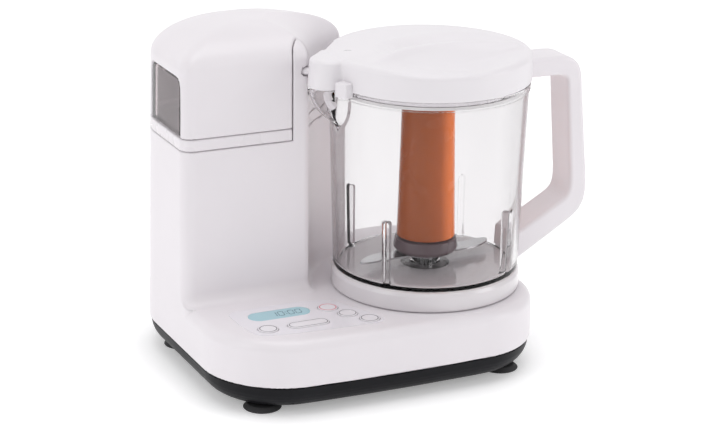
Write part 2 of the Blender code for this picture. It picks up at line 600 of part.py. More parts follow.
plunger.location = (TANK_PORT[0] * MM, TANK_PORT[1] * MM, 143.4 * MM)
finish(plunger, "valve_plunger", DARK)

# ================================================================ bowl
W = 3.0
bowl = turned("bowl", [(65.2, RIM_Z), (65.2, 184.2), (64.4, 183.6), (60.7, 66.0), (59.4, GLASS_Z0), (9.0, GLASS_Z0),
                       (6.4, GLASS_Z0), (6.4, 86.0), (8.8, 86.0), (9.0, 67.5), (56.0, 67.0), (57.7, 69.0),
                       (61.3, 183.0), (62.2, RIM_Z), (65.2, RIM_Z)], parent=bowl_axis, steps=48)
# pouring beak under the lid's ear
SP = math.radians(178.0)
BEAK_Z0 = 163.5                     # the beak grows out of the wall here


def beak(grow_r, z0, z1, name):
    rings = []
    for k in range(6):
        z = z0 + (z1 - z0) * (k / 5) ** 1.5
        t = min(max((z - BEAK_Z0) / 26.0, 0.0), 1.0)
        f = 1 - (1 - t) ** 2.5
        half = 13.4 * f ** 0.7
        c, r = 63.0 + 19.0 * f - half, max(0.5, half + grow_r)
        rings.append([(c * math.cos(SP) + r * math.cos(a), c * math.sin(SP) + r * math.sin(a), z)
                      for a in (math.tau * i / 14 for i in range(14))])
    return loft(name, rings, bowl_axis)


beak_outer = beak(0.0, 163.7, RIM_Z, "beak_outer")
boolean(beak_outer, cyl("beak_root", 0, 0, 140.0, 200.0, 61.5, parent=bowl_axis, n=48, r2=63.5))
boolean(bowl, beak_outer, "UNION")
inner = beak(-2.2, 166.5, RIM_Z + 6.0, "beak_inner")
boolean(bowl, inner)
for k, a in enumerate((38, 128, 218, 308)):
    rib = box("rib_%d" % k, (53.0, -2.0, 65.5), (60.2, 2.0, 108.0), parent=bowl_axis)
    rib.rotation_euler = (0, 0, math.radians(a))
    boolean(bowl, rib, "UNION")
finish(bowl, "bowl", GLASS, 30)
collar = turned("bowl_collar", [(60.9, COLLAR_Z1), (61.7, COLLAR_Z1 - 1.5), (61.9, COLLAR_Z0 + 1.0), (61.2, COLLAR_Z0),
                                (57.0, COLLAR_Z0), (57.0, 59.8), (16.0, 59.8), (16.0, COLLAR_Z1), (60.9, COLLAR_Z1)],
                parent=bowl_axis, steps=48)
finish(collar, "bowl_collar", COLLAR)
finish(turned("bowl_bush", [(6.1, 88.0), (6.1, 62.0), (4.4, 62.0), (4.4, 88.0), (6.1, 88.0)],
              parent=bowl_axis, steps=20), "bowl_bush", BRASS)

# handle: a flat loop in the XZ plane through the bowl axis, cut clear of glass and lid
outer = [(64.0, 196.3), (84.0, 196.6), (92.0, 195.2), (99.0, 190.5), (103.6, 183.5), (105.6, 175.0),
         (107.3, 160.0), (112.6, 113.0), (113.2, 104.0), (111.6, 96.0), (107.0, 89.6), (100.0, 84.0), (58.0, 56.8)]
inner_l = [(64.0, 184.0), (93.0, 183.6), (96.4, 182.2), (97.6, 178.6), (97.8, 170.0), (99.3, 118.0), (98.6, 109.0),
           (94.6, 102.6), (58.0, 74.5)]
handle = plate("bowl_handle", outer + inner_l[::-1], -13.0, 13.0, parent=bowl_axis, bevel=2.2, segments=2)
handle.rotation_euler = (math.radians(90), 0, 0)
boolean(handle, turned("handle_cut", [(0.0, 230.0), (66.3, 230.0), (66.3, 189.4), (65.6, 189.3), (65.6, 183.8),
                                      (64.9, 183.6), (61.2, 64.2), (62.3, 63.6), (62.3, 40.0), (0.0, 40.0)],
                       parent=bowl_axis, steps=48), solver="MANIFOLD")
finish(handle, "bowl_handle", WHITE, 30)

# ================================================================ blade
finish(plate("driven_coupling", circle(0, 0, 14.5, 20), 51.0, 59.3, parent=bowl_axis,
             holes=[star(10.7, 8.3, 6, 6)]), "driven_coupling", DARK)
dc = bpy.data.objects["driven_coupling"]
boolean(dc, cyl("coupling_web", 0, 0, 59.0, 61.8, 14.0, parent=bowl_axis, n=20), "UNION")
finish(turned("blade_spindle", [(0.0, 168.0), (4.0, 168.0), (4.0, 62.1), (0.0, 62.1)], parent=bowl_axis, steps=16),
       "blade_spindle", STEEL)
finish(turned("blade_sleeve", [(0.0, 180.0), (14.5, 180.0), (16.6, 178.6), (17.0, 176.0), (18.4, 110.0), (19.2, 83.0),
                               (17.2, 83.0), (16.4, 110.0), (15.0, 172.0), (0.0, 172.0)],
              parent=bowl_axis, steps=24), "blade_sleeve", AMBER)
finish(turned("blade_hub", [(16.8, 82.6), (20.4, 81.6), (21.0, 75.0), (19.0, 72.6), (9.9, 72.6), (9.9, 88.4), (4.3, 89.6),
                            (4.3, 92.6), (12.5, 92.6), (12.5, 86.0), (16.8, 84.6), (16.8, 82.6)],
              parent=bowl_axis, steps=20), "blade_hub", DARK)


def blade_outline():
    """Two swept arms on a central ring."""
    arm = [(12.5, -6.5), (26.0, -7.5), (40.0, -4.0), (50.0, 4.5), (47.0, 8.5), (36.0, 7.0), (24.0, 6.5), (13.0, 6.0)]
    pts = []
    for k in (0, 1):
        s = 1 if k == 0 else -1
        pts += [(s * x, s * y) for x, y in arm]
        pts += [(s * 8.0, s * 11.6), (0.0, s * 14.1), (-s * 8.0, s * 11.6)]
    return pts


blades = plate("blade_set", blade_outline(), 70.4, 71.8, parent=bowl_axis, holes=[circle(0, 0, 10.2, 24)])
finish(blades, "blade_set", STEEL)

# ================================================================ lid
lid = turned("lid", [(0.0, LID_Z1 + 0.8), (30.0, LID_Z1 + 0.6), (55.0, LID_Z1 + 0.2), (62.5, LID_Z1 - 0.4),
                     (64.8, LID_Z1 - 2.0), (65.6, LID_Z1 - 5.0), (65.9, LID_Z0), (60.6, LID_Z0), (60.6, 186.0),
                     (58.4, 186.0), (58.4, 200.5), (22.6, 200.5), (22.6, 184.0), (20.6, 184.0), (20.6, 201.5),
                     (0.0, 201.5)], parent=bowl_axis, steps=48)
# grip ridge pointing at the handle
ridge = []
for x, w, h in ((-44, 3.0, 0.3), (-32, 8.0, 2.2), (-12, 10.0, 3.4), (12, 10.0, 3.4), (36, 8.5, 3.0), (52, 6.5, 2.4),
                (58, 4.5, 0.3)):
    ridge.append([(x, w * math.cos(a), LID_Z1 - 2.0 + (h + 2.0) * max(0.0, math.sin(a)) ** 0.7)
                  for a in (math.pi * i / 8 for i in range(9))])
boolean(lid, loft("lid_ridge", ridge, bowl_axis), "UNION")


def scoop(name, y, depth, ry):
    bm = bmesh.new()
    bmesh.ops.create_uvsphere(bm, u_segments=18, v_segments=10, radius=1.0)
    bmesh.ops.scale(bm, vec=(50 * MM, ry * MM, 16 * MM), verts=bm.verts)
    bmesh.ops.translate(bm, vec=(4 * MM, y * MM, (LID_Z1 + 16.6 - depth) * MM), verts=bm.verts)
    return from_bmesh(bm, name, bowl_axis)


boolean(lid, scoop("scoop_front", -27.0, 4.6, 17.0))
boolean(lid, scoop("scoop_back", 27.0, 3.6, 17.0))


def ear_outline(shrink=0.0):
    """Teardrop: tangent to the lid behind, square to it in front."""
    ex, ey, er = EAR[0] - BOWL[0], EAR[1] - BOWL[1], EAR[2] - shrink
    d = math.hypot(ex, ey)
    u = math.degrees(math.atan2(ey, ex))
    k = math.degrees(math.acos((64.5 - shrink - er) / d))
    t = math.radians(u - k)
    pts = [(40.0 * math.cos(t), 40.0 * math.sin(t)), ((64.5 - shrink) * math.cos(t), (64.5 - shrink) * math.sin(t))]
    pts += circle(ex, ey, er, 12, u - k, 272)
    pts += [(-60.0, ey - er), (-40.0, ey - er + 6)]
    return pts


boolean(lid, loft("lid_ear", [[(x, y, z) for x, y in ear_outline(s)] for z, s in
                              ((LID_Z0, 0.0), (204.5, 0.0), (206.6, 0.8), (207.4, 2.4))], bowl_axis), "UNION")
ear_cut = loft("ear_inside", [[(x, y, z) for x, y in ear_outline(2.4)] for z in (LID_Z0 - 3, 204.4)], bowl_axis)
boolean(ear_cut, cyl("ear_keep", 0, 0, 100.0, 260.0, 66.5, parent=bowl_axis, n=48))
boolean(lid, ear_cut)
# steam inlet slot in the ear's back face, facing the outlet on the tower
slot = cyl("steam_inlet", 0, 0, -5, 5, 2.2, n=16)
slot.rotation_euler = (math.radians(90), 0, math.atan2(out_dir.y, out_dir.x) + math.radians(90))
slot.location = ((POST[0] + 12.0 * out_dir.x) * MM, (POST[1] + 12.0 * out_dir.y) * MM, 196.0 * MM)
boolean(lid, slot)
# tab at the lid's edge in front of the ear
tab = box("lid_tab", (62.0, -6.5, 191.0), (67.2, 6.5, 199.0), parent=bowl_axis)
tab.rotation_euler = (0, 0, math.radians(194.5))
boolean(lid, tab, "UNION")
finish(lid, "lid", WHITE, 30)
finish(turned("lid_gasket", [(60.6, 185.6), (60.6, 183.6), (57.6, 183.6), (57.6, 185.6), (60.6, 185.6)],
              parent=bowl_axis, steps=32), "lid_gasket", SILICONE)
finish(tube("steam_nozzle", smooth_path([(-20.4, -24.4, 204.0), (-20.4, -24.4, 194), (-20.2, -24.4, 184),
                                         (-18.2, -24.4, 178.5), (-16.0, -24.4, 175.5)], 3), 2.8), "steam_nozzle", WHITE)
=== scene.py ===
"""Looks of the baby food maker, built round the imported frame.

Lengths in the shape code are millimetres from the middle of the base; the frame gives where
that is.  The soft white shells are made from distance fields, turned parts are lathed."""
import json
import math
import bpy
import bmesh
import numpy as np
from mathutils import Matrix, Vector


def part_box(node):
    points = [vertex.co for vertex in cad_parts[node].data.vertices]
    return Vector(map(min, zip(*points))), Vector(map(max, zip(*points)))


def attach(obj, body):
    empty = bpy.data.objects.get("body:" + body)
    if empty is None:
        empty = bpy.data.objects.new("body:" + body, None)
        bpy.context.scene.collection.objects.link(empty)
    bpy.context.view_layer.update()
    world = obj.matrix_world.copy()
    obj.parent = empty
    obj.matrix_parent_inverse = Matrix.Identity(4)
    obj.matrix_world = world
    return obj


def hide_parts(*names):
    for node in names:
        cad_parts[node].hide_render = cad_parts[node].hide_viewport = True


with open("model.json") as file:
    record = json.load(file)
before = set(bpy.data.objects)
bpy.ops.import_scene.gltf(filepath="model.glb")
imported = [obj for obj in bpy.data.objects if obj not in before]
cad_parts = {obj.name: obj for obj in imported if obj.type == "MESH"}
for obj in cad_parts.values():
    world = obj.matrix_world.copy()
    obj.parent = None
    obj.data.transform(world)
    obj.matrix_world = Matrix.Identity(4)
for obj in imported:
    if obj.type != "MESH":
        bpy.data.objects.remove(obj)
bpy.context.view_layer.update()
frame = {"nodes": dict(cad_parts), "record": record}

BOWL = (50.25, -26.45)
_lo, _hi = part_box("bowl_collar")
OX = (_lo[0] + _hi[0]) / 2 * 1000 - BOWL[0]
OY = (_lo[1] + _hi[1]) / 2 * 1000 - BOWL[1]
ORIGIN = np.array([OX, OY, 0.0])
HX, HY, R, BOW = 113.4, 94.3, 50.4, 5.0
TOWER_Z0, TOWER_H, TOWER_EXP, TOWER_TOP = 199.8, 24.4, 2.2, 223.25
TOWER_MID = (-50.0, 38.0)
POST = (-30.3, -5.2)
TANK_PORT = (-78.0, 40.0)
KEYS = {"key_stop": (-29.5, -48.5, 6.4, 6.4), "key_puree": (-22.0, -62.5, 6.4, 6.4),
        "key_blend": (-12.8, -76.0, 6.4, 6.4), "key_steam": (-79.0, -68.6, 6.4, 6.4),
        "key_auto": (-52.0, -69.4, 13.8, 5.2)}
LCD_C, LCD_H = (-62.3, -46.4), (20.8, 7.2)
PANEL_OUT = [(-93.5, -37.5), (-90.5, -33.0), (-84.0, -31.2), (-46.0, -30.4), (-28.0, -33.0), (-21.5, -38.0),
             (-17.5, -46.0), (-4.6, -74.5), (-4.2, -80.5), (-9.0, -84.6), (-24.0, -83.8), (-60.0, -82.0),
             (-84.5, -78.6), (-89.8, -74.0), (-92.2, -60.0)]


# ------------------------------------------------------------------ distance field kit
def hyp(a, b):
    return np.sqrt(a * a + b * b)


def pos(a):
    return np.maximum(a, 0.0)


def ri(a, b, r):
    """Intersection with a rounded edge of radius r."""
    return np.minimum(np.maximum(a, b), -r) + hyp(pos(a + r), pos(b + r))


def ru(a, b, r):
    """Union with a rounded inside corner of radius r."""
    return np.maximum(np.minimum(a, b), r) - hyp(pos(r - a), pos(r - b))


def smooth(a, lo, hi):
    t = np.clip((a - lo) / (hi - lo), 0.0, 1.0)
    return t * t * (3 - 2 * t)


def nets(f, lo, hi, h, steps=4):
    """Surface nets over the field f, with the points then drawn onto its zero surface."""
    lo, hi = np.array(lo, float), np.array(hi, float)
    n = np.ceil((hi - lo) / h).astype(int) + 1
    ax = [lo[k] + h * np.arange(n[k]) for k in range(3)]
    vol = np.empty(tuple(n), dtype=np.float32)
    for i in range(0, n[0], 24):
        vol[i:i + 24] = f(ax[0][i:i + 24, None, None], ax[1][None, :, None], ax[2][None, None, :])
    s = vol < 0
    cs = [slice(None, -1), slice(1, None)]
    count = np.zeros(tuple(n - 1), dtype=np.uint8)
    for a in (0, 1):
        for b in (0, 1):
            for c in (0, 1):
                count += s[cs[a], cs[b], cs[c]]
    mixed = (count > 0) & (count < 8)
    cells = np.argwhere(mixed)
    index = np.full(tuple(n - 1), -1, dtype=np.int64)
    index[mixed] = np.arange(len(cells))
    total = np.zeros((len(cells), 3))
    hits = np.zeros(len(cells))
    i, j, k = cells.T
    corners = [(a, b, c) for a in (0, 1) for b in (0, 1) for c in (0, 1)]
    for p in corners:
        for axis in range(3):
            if p[axis]:
                continue
            q = list(p)
            q[axis] = 1
            va = vol[i + p[0], j + p[1], k + p[2]]
            vb = vol[i + q[0], j + q[1], k + q[2]]
            m = (va < 0) != (vb < 0)
            t = va[m] / (va[m] - vb[m])
            at = np.tile(np.array(p, float), (int(m.sum()), 1))
            at[:, axis] = t
            total[m] += at
            hits[m] += 1
    pts = lo + h * (cells + total / hits[:, None])
    faces = []
    inner = slice(1, -1)
    for axis in range(3):
        if axis == 0:
            a, b = s[:-1, inner, inner], s[1:, inner, inner]
            off, loop = np.array([0, 1, 1]), [(0, -1, -1), (0, 0, -1), (0, 0, 0), (0, -1, 0)]
        elif axis == 1:
            a, b = s[inner, :-1, inner], s[inner, 1:, inner]
            off, loop = np.array([1, 0, 1]), [(-1, 0, -1), (-1, 0, 0), (0, 0, 0), (0, 0, -1)]
        else:
            a, b = s[inner, inner, :-1], s[inner, inner, 1:]
            off, loop = np.array([1, 1, 0]), [(-1, -1, 0), (0, -1, 0), (0, 0, 0), (-1, 0, 0)]
        for flip, m in ((False, a & ~b), (True, ~a & b)):
            e = np.argwhere(m) + off
            quad = np.stack([index[e[:, 0] + d[0], e[:, 1] + d[1], e[:, 2] + d[2]] for d in loop], axis=1)
            faces.append(quad[:, ::-1] if flip else quad)
    faces = np.concatenate(faces)
    e = 0.05
    for _ in range(steps):
        x, y, z = pts.T
        v = f(x, y, z)
        g = np.stack([f(x + e, y, z) - f(x - e, y, z), f(x, y + e, z) - f(x, y - e, z),
                      f(x, y, z + e) - f(x, y, z - e)], axis=1) / (2 * e)
        l2 = np.maximum((g * g).sum(axis=1), 0.05)
        move = -(v / l2)[:, None] * g
        length = np.sqrt((move * move).sum(axis=1))
        pts = pts + move * np.minimum(1.0, 0.5 * h / np.maximum(length, 1e-9))[:, None]
    e = 0.16
    x, y, z = pts.T
    g = np.stack([f(x + e, y, z) - f(x - e, y, z), f(x, y + e, z) - f(x, y - e, z),
                  f(x, y, z + e) - f(x, y, z - e)], axis=1)
    g /= np.maximum(np.sqrt((g * g).sum(axis=1)), 1e-9)[:, None]
    return pts, faces, g


def mesh_object(name, pts, faces, angle=50.0, normals=None):
    """A smooth-shaded object from points in mm about the middle of the base."""
    me = bpy.data.meshes.new(name)
    co = (np.asarray(pts, float) + ORIGIN) / 1000.0
    me.vertices.add(len(co))
    me.vertices.foreach_set("co", co.ravel())
    flat = np.concatenate([np.asarray(q) for q in faces]) if isinstance(faces, list) else faces.ravel()
    sizes = np.array([len(q) for q in faces]) if isinstance(faces, list) else np.full(len(faces), faces.shape[1])
    me.loops.add(int(sizes.sum()))
    me.loops.foreach_set("vertex_index", flat.astype(np.int32))
    me.polygons.add(len(sizes))
    me.polygons.foreach_set("loop_start", np.concatenate([[0], np.cumsum(sizes)[:-1]]).astype(np.int32))
    me.update(calc_edges=True)
    me.validate()
    me.shade_smooth()
    if normals is not None:
        me.normals_split_custom_set_from_vertices(normals.tolist())
    elif angle:
        me.set_sharp_from_angle(angle=math.radians(angle))
    o = bpy.data.objects.new(name, me)
    bpy.context.scene.collection.objects.link(o)
    return o


def field_object(name, f, lo, hi, h, angle=50.0, steps=4):
    pts, faces, normals = nets(f, lo, hi, h, steps)
    return mesh_object(name, pts, faces, angle, normals)


# ------------------------------------------------------------------ lathe and plate kit
def rounded(profile, seg=5):
    """Profile of (r, z) or (r, z, radius): corners with a radius become arcs."""
    out = []
    n = len(profile)
    for i, p in enumerate(profile):
        if len(p) < 3 or i in (0, n - 1):
            out.append((p[0], p[1]))
            continue
        a, b, c = Vector(profile[i - 1][:2]), Vector(p[:2]), Vector(profile[(i + 1) % n][:2])
        u, w = (a - b).normalized(), (c - b).normalized()
        ang = u.angle(w)
        cut = min(p[2] / math.tan(ang / 2), (a - b).length * 0.49, (c - b).length * 0.49)
        rad = cut * math.tan(ang / 2)
        mid = b + (u + w).normalized() * (rad / math.sin(ang / 2))
        s, e = b + u * cut, b + w * cut
        a0 = math.atan2(s.y - mid.y, s.x - mid.x)
        a1 = math.atan2(e.y - mid.y, e.x - mid.x)
        d = (a1 - a0 + math.pi) % math.tau - math.pi
        for k in range(seg + 1):
            t = a0 + d * k / seg
            out.append((mid.x + rad * math.cos(t), mid.y + rad * math.sin(t)))
    return out


def lathe(name, profile, centre=BOWL, steps=144, angle=35.0, seg=5):
    """Turns an open profile about a vertical axis; ends on the axis are closed to a point."""
    prof = rounded(profile, seg)
    closed = profile[0][:2] == profile[-1][:2]
    if closed:
        prof = prof[:-1]
    pts, rings = [], []
    for r, z in prof:
        if r < 1e-6:
            rings.append([len(pts)])
            pts.append((centre[0], centre[1], z))
        else:
            rings.append(list(range(len(pts), len(pts) + steps)))
            for i in range(steps):
                t = math.tau * i / steps
                pts.append((centre[0] + r * math.cos(t), centre[1] + r * math.sin(t), z))
    faces = []
    pairs = list(zip(rings, rings[1:] + (rings[:1] if closed else [])))
    if not closed:
        pairs = list(zip(rings[:-1], rings[1:]))
    for a, b in pairs:
        for i in range(steps):
            j = (i + 1) % steps
            if len(a) == 1 and len(b) == 1:
                continue
            if len(a) == 1:
                faces.append([a[0], b[i], b[j]])
            elif len(b) == 1:
                faces.append([a[i], b[0], a[j]])
            else:
                faces.append([a[i], b[i], b[j], a[j]])
    o = mesh_object(name, np.array(pts), faces, 0)
    bm = bmesh.new()
    bm.from_mesh(o.data)
    bmesh.ops.recalc_face_normals(bm, faces=bm.faces)
    bm.to_mesh(o.data)
    bm.free()
    o.data.shade_smooth()
    o.data.set_sharp_from_angle(angle=math.radians(angle))
    return o


def soften(points, times=3):
    """Cuts the corners of a closed outline again and again (Chaikin)."""
    p = [tuple(q) for q in points]
    for _ in range(times):
        q = []
        for a, b in zip(p, p[1:] + p[:1]):
            q.append((a[0] * 0.75 + b[0] * 0.25, a[1] * 0.75 + b[1] * 0.25))
            q.append((a[0] * 0.25 + b[0] * 0.75, a[1] * 0.25 + b[1] * 0.75))
        p = q
    return p


def pill(cx, cy, hx, hy, extra=0.0, n=64):
    hx, hy = hx + extra, hy + extra
    s = hx - hy
    pts = []
    for k in range(n):
        t = math.tau * k / n
        pts.append((cx + hy * math.cos(t) + (s if math.cos(t) > 0 else -s), cy + hy * math.sin(t)))
    return pts


def plate(name, outline, z0, z1, holes=(), bevel=0.2, segments=3, angle=35.0, centre=(0.0, 0.0)):
    """A filled outline with holes, extruded and with its edges rounded over."""
    cu = bpy.data.curves.new(name, "CURVE")
    cu.dimensions = "2D"
    cu.fill_mode = "BOTH"
    cu.extrude = (z1 - z0) / 2000.0
    for pts in (outline, *holes):
        s = cu.splines.new("POLY")
        s.points.add(len(pts) - 1)
        for p, q in zip(s.points, pts):
            p.co = ((q[0] + centre[0] + OX) / 1000.0, (q[1] + centre[1] + OY) / 1000.0, 0, 1)
        s.use_cyclic_u = True
    c = bpy.data.objects.new(name + "_curve", cu)
    bpy.context.scene.collection.objects.link(c)
    bpy.context.view_layer.update()
    me = bpy.data.meshes.new_from_object(c.evaluated_get(bpy.context.evaluated_depsgraph_get()))
    bpy.data.objects.remove(c, do_unlink=True)
    bm = bmesh.new()
    bm.from_mesh(me)
    bmesh.ops.remove_doubles(bm, verts=bm.verts, dist=1e-6)
    bmesh.ops.dissolve_limit(bm, angle_limit=0.01, verts=bm.verts, edges=bm.edges)
    bmesh.ops.translate(bm, verts=bm.verts, vec=(0, 0, (z0 + z1) / 2000.0))
    bmesh.ops.recalc_face_normals(bm, faces=bm.faces)
    bm.to_mesh(me)
    bm.free()
    o = bpy.data.objects.new(name, me)
    bpy.context.scene.collection.objects.link(o)
    if bevel:
        m = o.modifiers.new("edges", "BEVEL")
        m.width = bevel / 1000.0
        m.segments = segments
        m.limit_method = "ANGLE"
        m.angle_limit = math.radians(50)
    me.shade_smooth()
    me.set_sharp_from_angle(angle=math.radians(angle))
    return o


def join(name, objs):
    """Joins meshes into one object, modifiers applied."""
    dg = bpy.context.evaluated_depsgraph_get()
    bm = bmesh.new()
    for o in objs:
        bpy.context.view_layer.update()
        me = bpy.data.meshes.new_from_object(o.evaluated_get(bpy.context.evaluated_depsgraph_get()))
        me.transform(o.matrix_world)
        bm.from_mesh(me)
        bpy.data.meshes.remove(me)
    me = bpy.data.meshes.new(name)
    bm.to_mesh(me)
    bm.free()
    for o in objs:
        bpy.data.objects.remove(o, do_unlink=True)
    me.shade_smooth()
    me.set_sharp_from_angle(angle=math.radians(35))
    out = bpy.data.objects.new(name, me)
    bpy.context.scene.collection.objects.link(out)
    return out


# ------------------------------------------------------------------ materials
def nodes_of(name):
    m = bpy.data.materials.new(name)
    m.use_nodes = True
    nt = m.node_tree
    return m, nt, nt.nodes["Principled BSDF"]


def noise(nt, scale, detail=4.0, rough=0.55, vector=None, stretch=None):
    t = nt.nodes.new("ShaderNodeTexNoise")
    t.inputs["Scale"].default_value = scale
    t.inputs["Detail"].default_value = detail
    t.inputs["Roughness"].default_value = rough
    c = nt.nodes.new("ShaderNodeTexCoord")
    if stretch:
        mp = nt.nodes.new("ShaderNodeMapping")
        mp.inputs["Scale"].default_value = stretch
        nt.links.new(c.outputs["Object"], mp.inputs["Vector"])
        nt.links.new(mp.outputs["Vector"], t.inputs["Vector"])
    else:
        nt.links.new(c.outputs["Object"], t.inputs["Vector"])
    return t.outputs["Fac"]


def ramp(nt, fac, stops):
    r = nt.nodes.new("ShaderNodeValToRGB")
    e = r.color_ramp.elements
    e[0].position, e[0].color = stops[0][0], (*stops[0][1], 1)
    e[1].position, e[1].color = stops[-1][0], (*stops[-1][1], 1)
    for p, c in stops[1:-1]:
        k = e.new(p)
        k.color = (*c, 1)
    nt.links.new(fac, r.inputs["Fac"])
    return r.outputs["Color"]


def spread(nt, fac, lo, hi):
    m = nt.nodes.new("ShaderNodeMapRange")
    m.inputs["From Min"].default_value = 0.3
    m.inputs["From Max"].default_value = 0.7
    m.inputs["To Min"].default_value = lo
    m.inputs["To Max"].default_value = hi
    nt.links.new(fac, m.inputs["Value"])
    return m.outputs["Result"]


def bump(nt, b, height, strength, distance):
    n = nt.nodes.new("ShaderNodeBump")
    n.inputs["Strength"].default_value = strength
    n.inputs["Distance"].default_value = distance
    nt.links.new(height, n.inputs["Height"])
    nt.links.new(n.outputs["Normal"], b.inputs["Normal"])
    return n


def plastic(name, colour, rough=0.3, vary=0.03, grain=420.0, depth=0.00003, coat=0.0, sss=0.0, spec=0.5, bump_s=0.12):
    """Moulded plastic: faint cloudiness in the colour and gloss, fine orange peel."""
    m, nt, b = nodes_of(name)
    cloud = noise(nt, 28.0, 3.0)
    lo = tuple(max(0.0, c * (1 - vary)) for c in colour)
    hi = tuple(min(1.0, c * (1 + vary)) for c in colour)
    body = ramp(nt, cloud, [(0.3, lo), (0.7, hi)])
    nt.links.new(body, b.inputs["Base Color"])
    nt.links.new(spread(nt, noise(nt, 55.0, 2.0), rough * 0.92, rough * 1.09), b.inputs["Roughness"])
    bump(nt, b, noise(nt, grain, 2.0), bump_s, depth)
    b.inputs["Coat Weight"].default_value = coat
    b.inputs["Coat Roughness"].default_value = 0.08
    b.inputs["Specular IOR Level"].default_value = spec
    if sss:
        b.inputs["Subsurface Weight"].default_value = sss
        b.inputs["Subsurface Radius"].default_value = (0.004, 0.0035, 0.0035)
        b.inputs["Subsurface Scale"].default_value = 0.6
    return m


def metal(name, colour, rough=0.25, stretch=(900.0, 900.0, 30.0), depth=0.00002):
    m, nt, b = nodes_of(name)
    b.inputs["Metallic"].default_value = 1.0
    lines = noise(nt, 1.0, 3.0, 0.6, stretch=stretch)
    nt.links.new(ramp(nt, lines, [(0.25, tuple(c * 0.86 for c in colour)), (0.75, colour)]), b.inputs["Base Color"])
    nt.links.new(spread(nt, lines, rough * 0.75, rough * 1.35), b.inputs["Roughness"])
    bump(nt, b, lines, 0.25, depth)
    return m


def clear(name, colour, edge, rough=0.02, ior=1.5, haze=0.6):
    """Clear moulded plastic with faint smears and ripples, greyer where it is seen edge on."""
    m, nt, b = nodes_of(name)
    lw = nt.nodes.new("ShaderNodeLayerWeight")
    lw.inputs["Blend"].default_value = 0.25
    nt.links.new(ramp(nt, lw.outputs["Facing"], [(0.2, colour), (0.8, edge)]), b.inputs["Base Color"])
    b.inputs["Transmission Weight"].default_value = 1.0
    b.inputs["IOR"].default_value = ior
    nt.links.new(spread(nt, noise(nt, 60.0, 6.0, 0.65), rough * (1 - haze * 0.5), rough * (1 + haze)), b.inputs["Roughness"])
    bump(nt, b, noise(nt, 45.0, 2.0), 0.12, 0.0001)
    return m


WHITE = plastic("white_shell", (0.795, 0.762, 0.79), 0.32, 0.010, spec=0.43)
WHITE_LID = plastic("white_lid", (0.80, 0.775, 0.80), 0.34, 0.010, spec=0.42)
WHITE_TRIM = plastic("white_trim", (0.785, 0.752, 0.78), 0.28, 0.010, spec=0.46)
BLACK = plastic("black_tray", (0.011, 0.011, 0.013), 0.40, 0.18, grain=900.0, depth=0.00005, spec=0.10, bump_s=0.25)
DARK = plastic("dark_moulding", (0.05, 0.042, 0.045), 0.32, 0.18, grain=1500.0)
HUB = plastic("dark_hub", (0.10, 0.065, 0.075), 0.26, 0.15, grain=1500.0)
RUBBER = plastic("foot_rubber", (0.035, 0.035, 0.037), 0.72, 0.2, grain=900.0, depth=0.0001)
GREY_RUBBER = plastic("grey_rubber", (0.10, 0.10, 0.105), 0.75, 0.2, grain=900.0, depth=0.0001)
SILICONE = plastic("white_silicone", (0.74, 0.73, 0.73), 0.55, 0.05, sss=0.0)
PANEL = plastic("panel_film", (0.80, 0.775, 0.82), 0.16, 0.01, depth=0.00001, coat=0.3)
KEYMAT = plastic("key_cap", (0.81, 0.785, 0.82), 0.3, 0.012, coat=0.15)
RING_GREY = plastic("ring_grey", (0.16, 0.15, 0.17), 0.4, 0.05)
RING_RED = plastic("ring_red", (0.62, 0.10, 0.16), 0.4, 0.05)
LCDMAT = plastic("display_window", (0.36, 0.60, 0.67), 0.10, 0.05, depth=0.000006, coat=0.6)
DIGIT = plastic("display_segment", (0.05, 0.12, 0.15), 0.25, 0.1)
COLLAR = plastic("collar_grey", (0.70, 0.67, 0.69), 0.2, 0.02, coat=0.25)
AMBER = plastic("amber_column", (0.50, 0.10, 0.012), 0.26, 0.06, coat=0.12, spec=0.3)
# painted light: the column's base colour runs from dark amber to bright amber towards +x, the side turned to the
# handle, standing in for light shining through the translucent plastic; a little noise varies the tone at random
_ant, _ab = AMBER.node_tree, AMBER.node_tree.nodes["Principled BSDF"]
_co = _ant.nodes.new("ShaderNodeTexCoord")
_sep = _ant.nodes.new("ShaderNodeSeparateXYZ")
_ant.links.new(_co.outputs["Object"], _sep.inputs["Vector"])
_painted_light_ramp = _ant.nodes.new("ShaderNodeMapRange")
_painted_light_ramp.interpolation_type = "SMOOTHSTEP"
_painted_light_ramp.inputs["From Min"].default_value = (BOWL[0] + OX - 12.0) / 1000.0
_painted_light_ramp.inputs["From Max"].default_value = (BOWL[0] + OX + 15.0) / 1000.0
_ant.links.new(_sep.outputs["X"], _painted_light_ramp.inputs["Value"])
_add = _ant.nodes.new("ShaderNodeMath")
_add.operation = "MULTIPLY_ADD"
_ant.links.new(noise(_ant, 40.0, 3.0), _add.inputs[0])
_add.inputs[1].default_value = 0.16
_ant.links.new(_painted_light_ramp.outputs["Result"], _add.inputs[2])
# painted light ramp: the bright stop is the lit side of the column, painted into the colour
_ant.links.new(ramp(_ant, _add.outputs["Value"], [(0.05, (0.33, 0.070, 0.008)), (0.55, (0.40, 0.080, 0.009)), (1.1, (0.85, 0.185, 0.018))]), _ab.inputs["Base Color"])
STEEL = metal("steel_brushed", (0.62, 0.62, 0.63), 0.24)
BLADE = metal("blade_steel", (0.66, 0.66, 0.67), 0.18, (60.0, 900.0, 900.0))
ALU = metal("aluminium_cast", (0.68, 0.69, 0.70), 0.42, (420.0, 420.0, 420.0), 0.0001)
COPPER = metal("copper_wire", (0.62, 0.29, 0.13), 0.3, (60.0, 60.0, 2600.0), 0.0002)
BRASS = metal("brass_turned", (0.72, 0.53, 0.23), 0.28, (60.0, 60.0, 1800.0))
GREEN = plastic("board_green", (0.02, 0.16, 0.07), 0.4, 0.25, grain=500.0, depth=0.0002)
GLASS = clear("bowl_clear", (0.87, 0.862, 0.866), (0.50, 0.485, 0.49), 0.018, 1.24)
SMOKE = clear("tank_smoke", (0.74, 0.64, 0.66), (0.60, 0.52, 0.54), 0.10, 1.4)

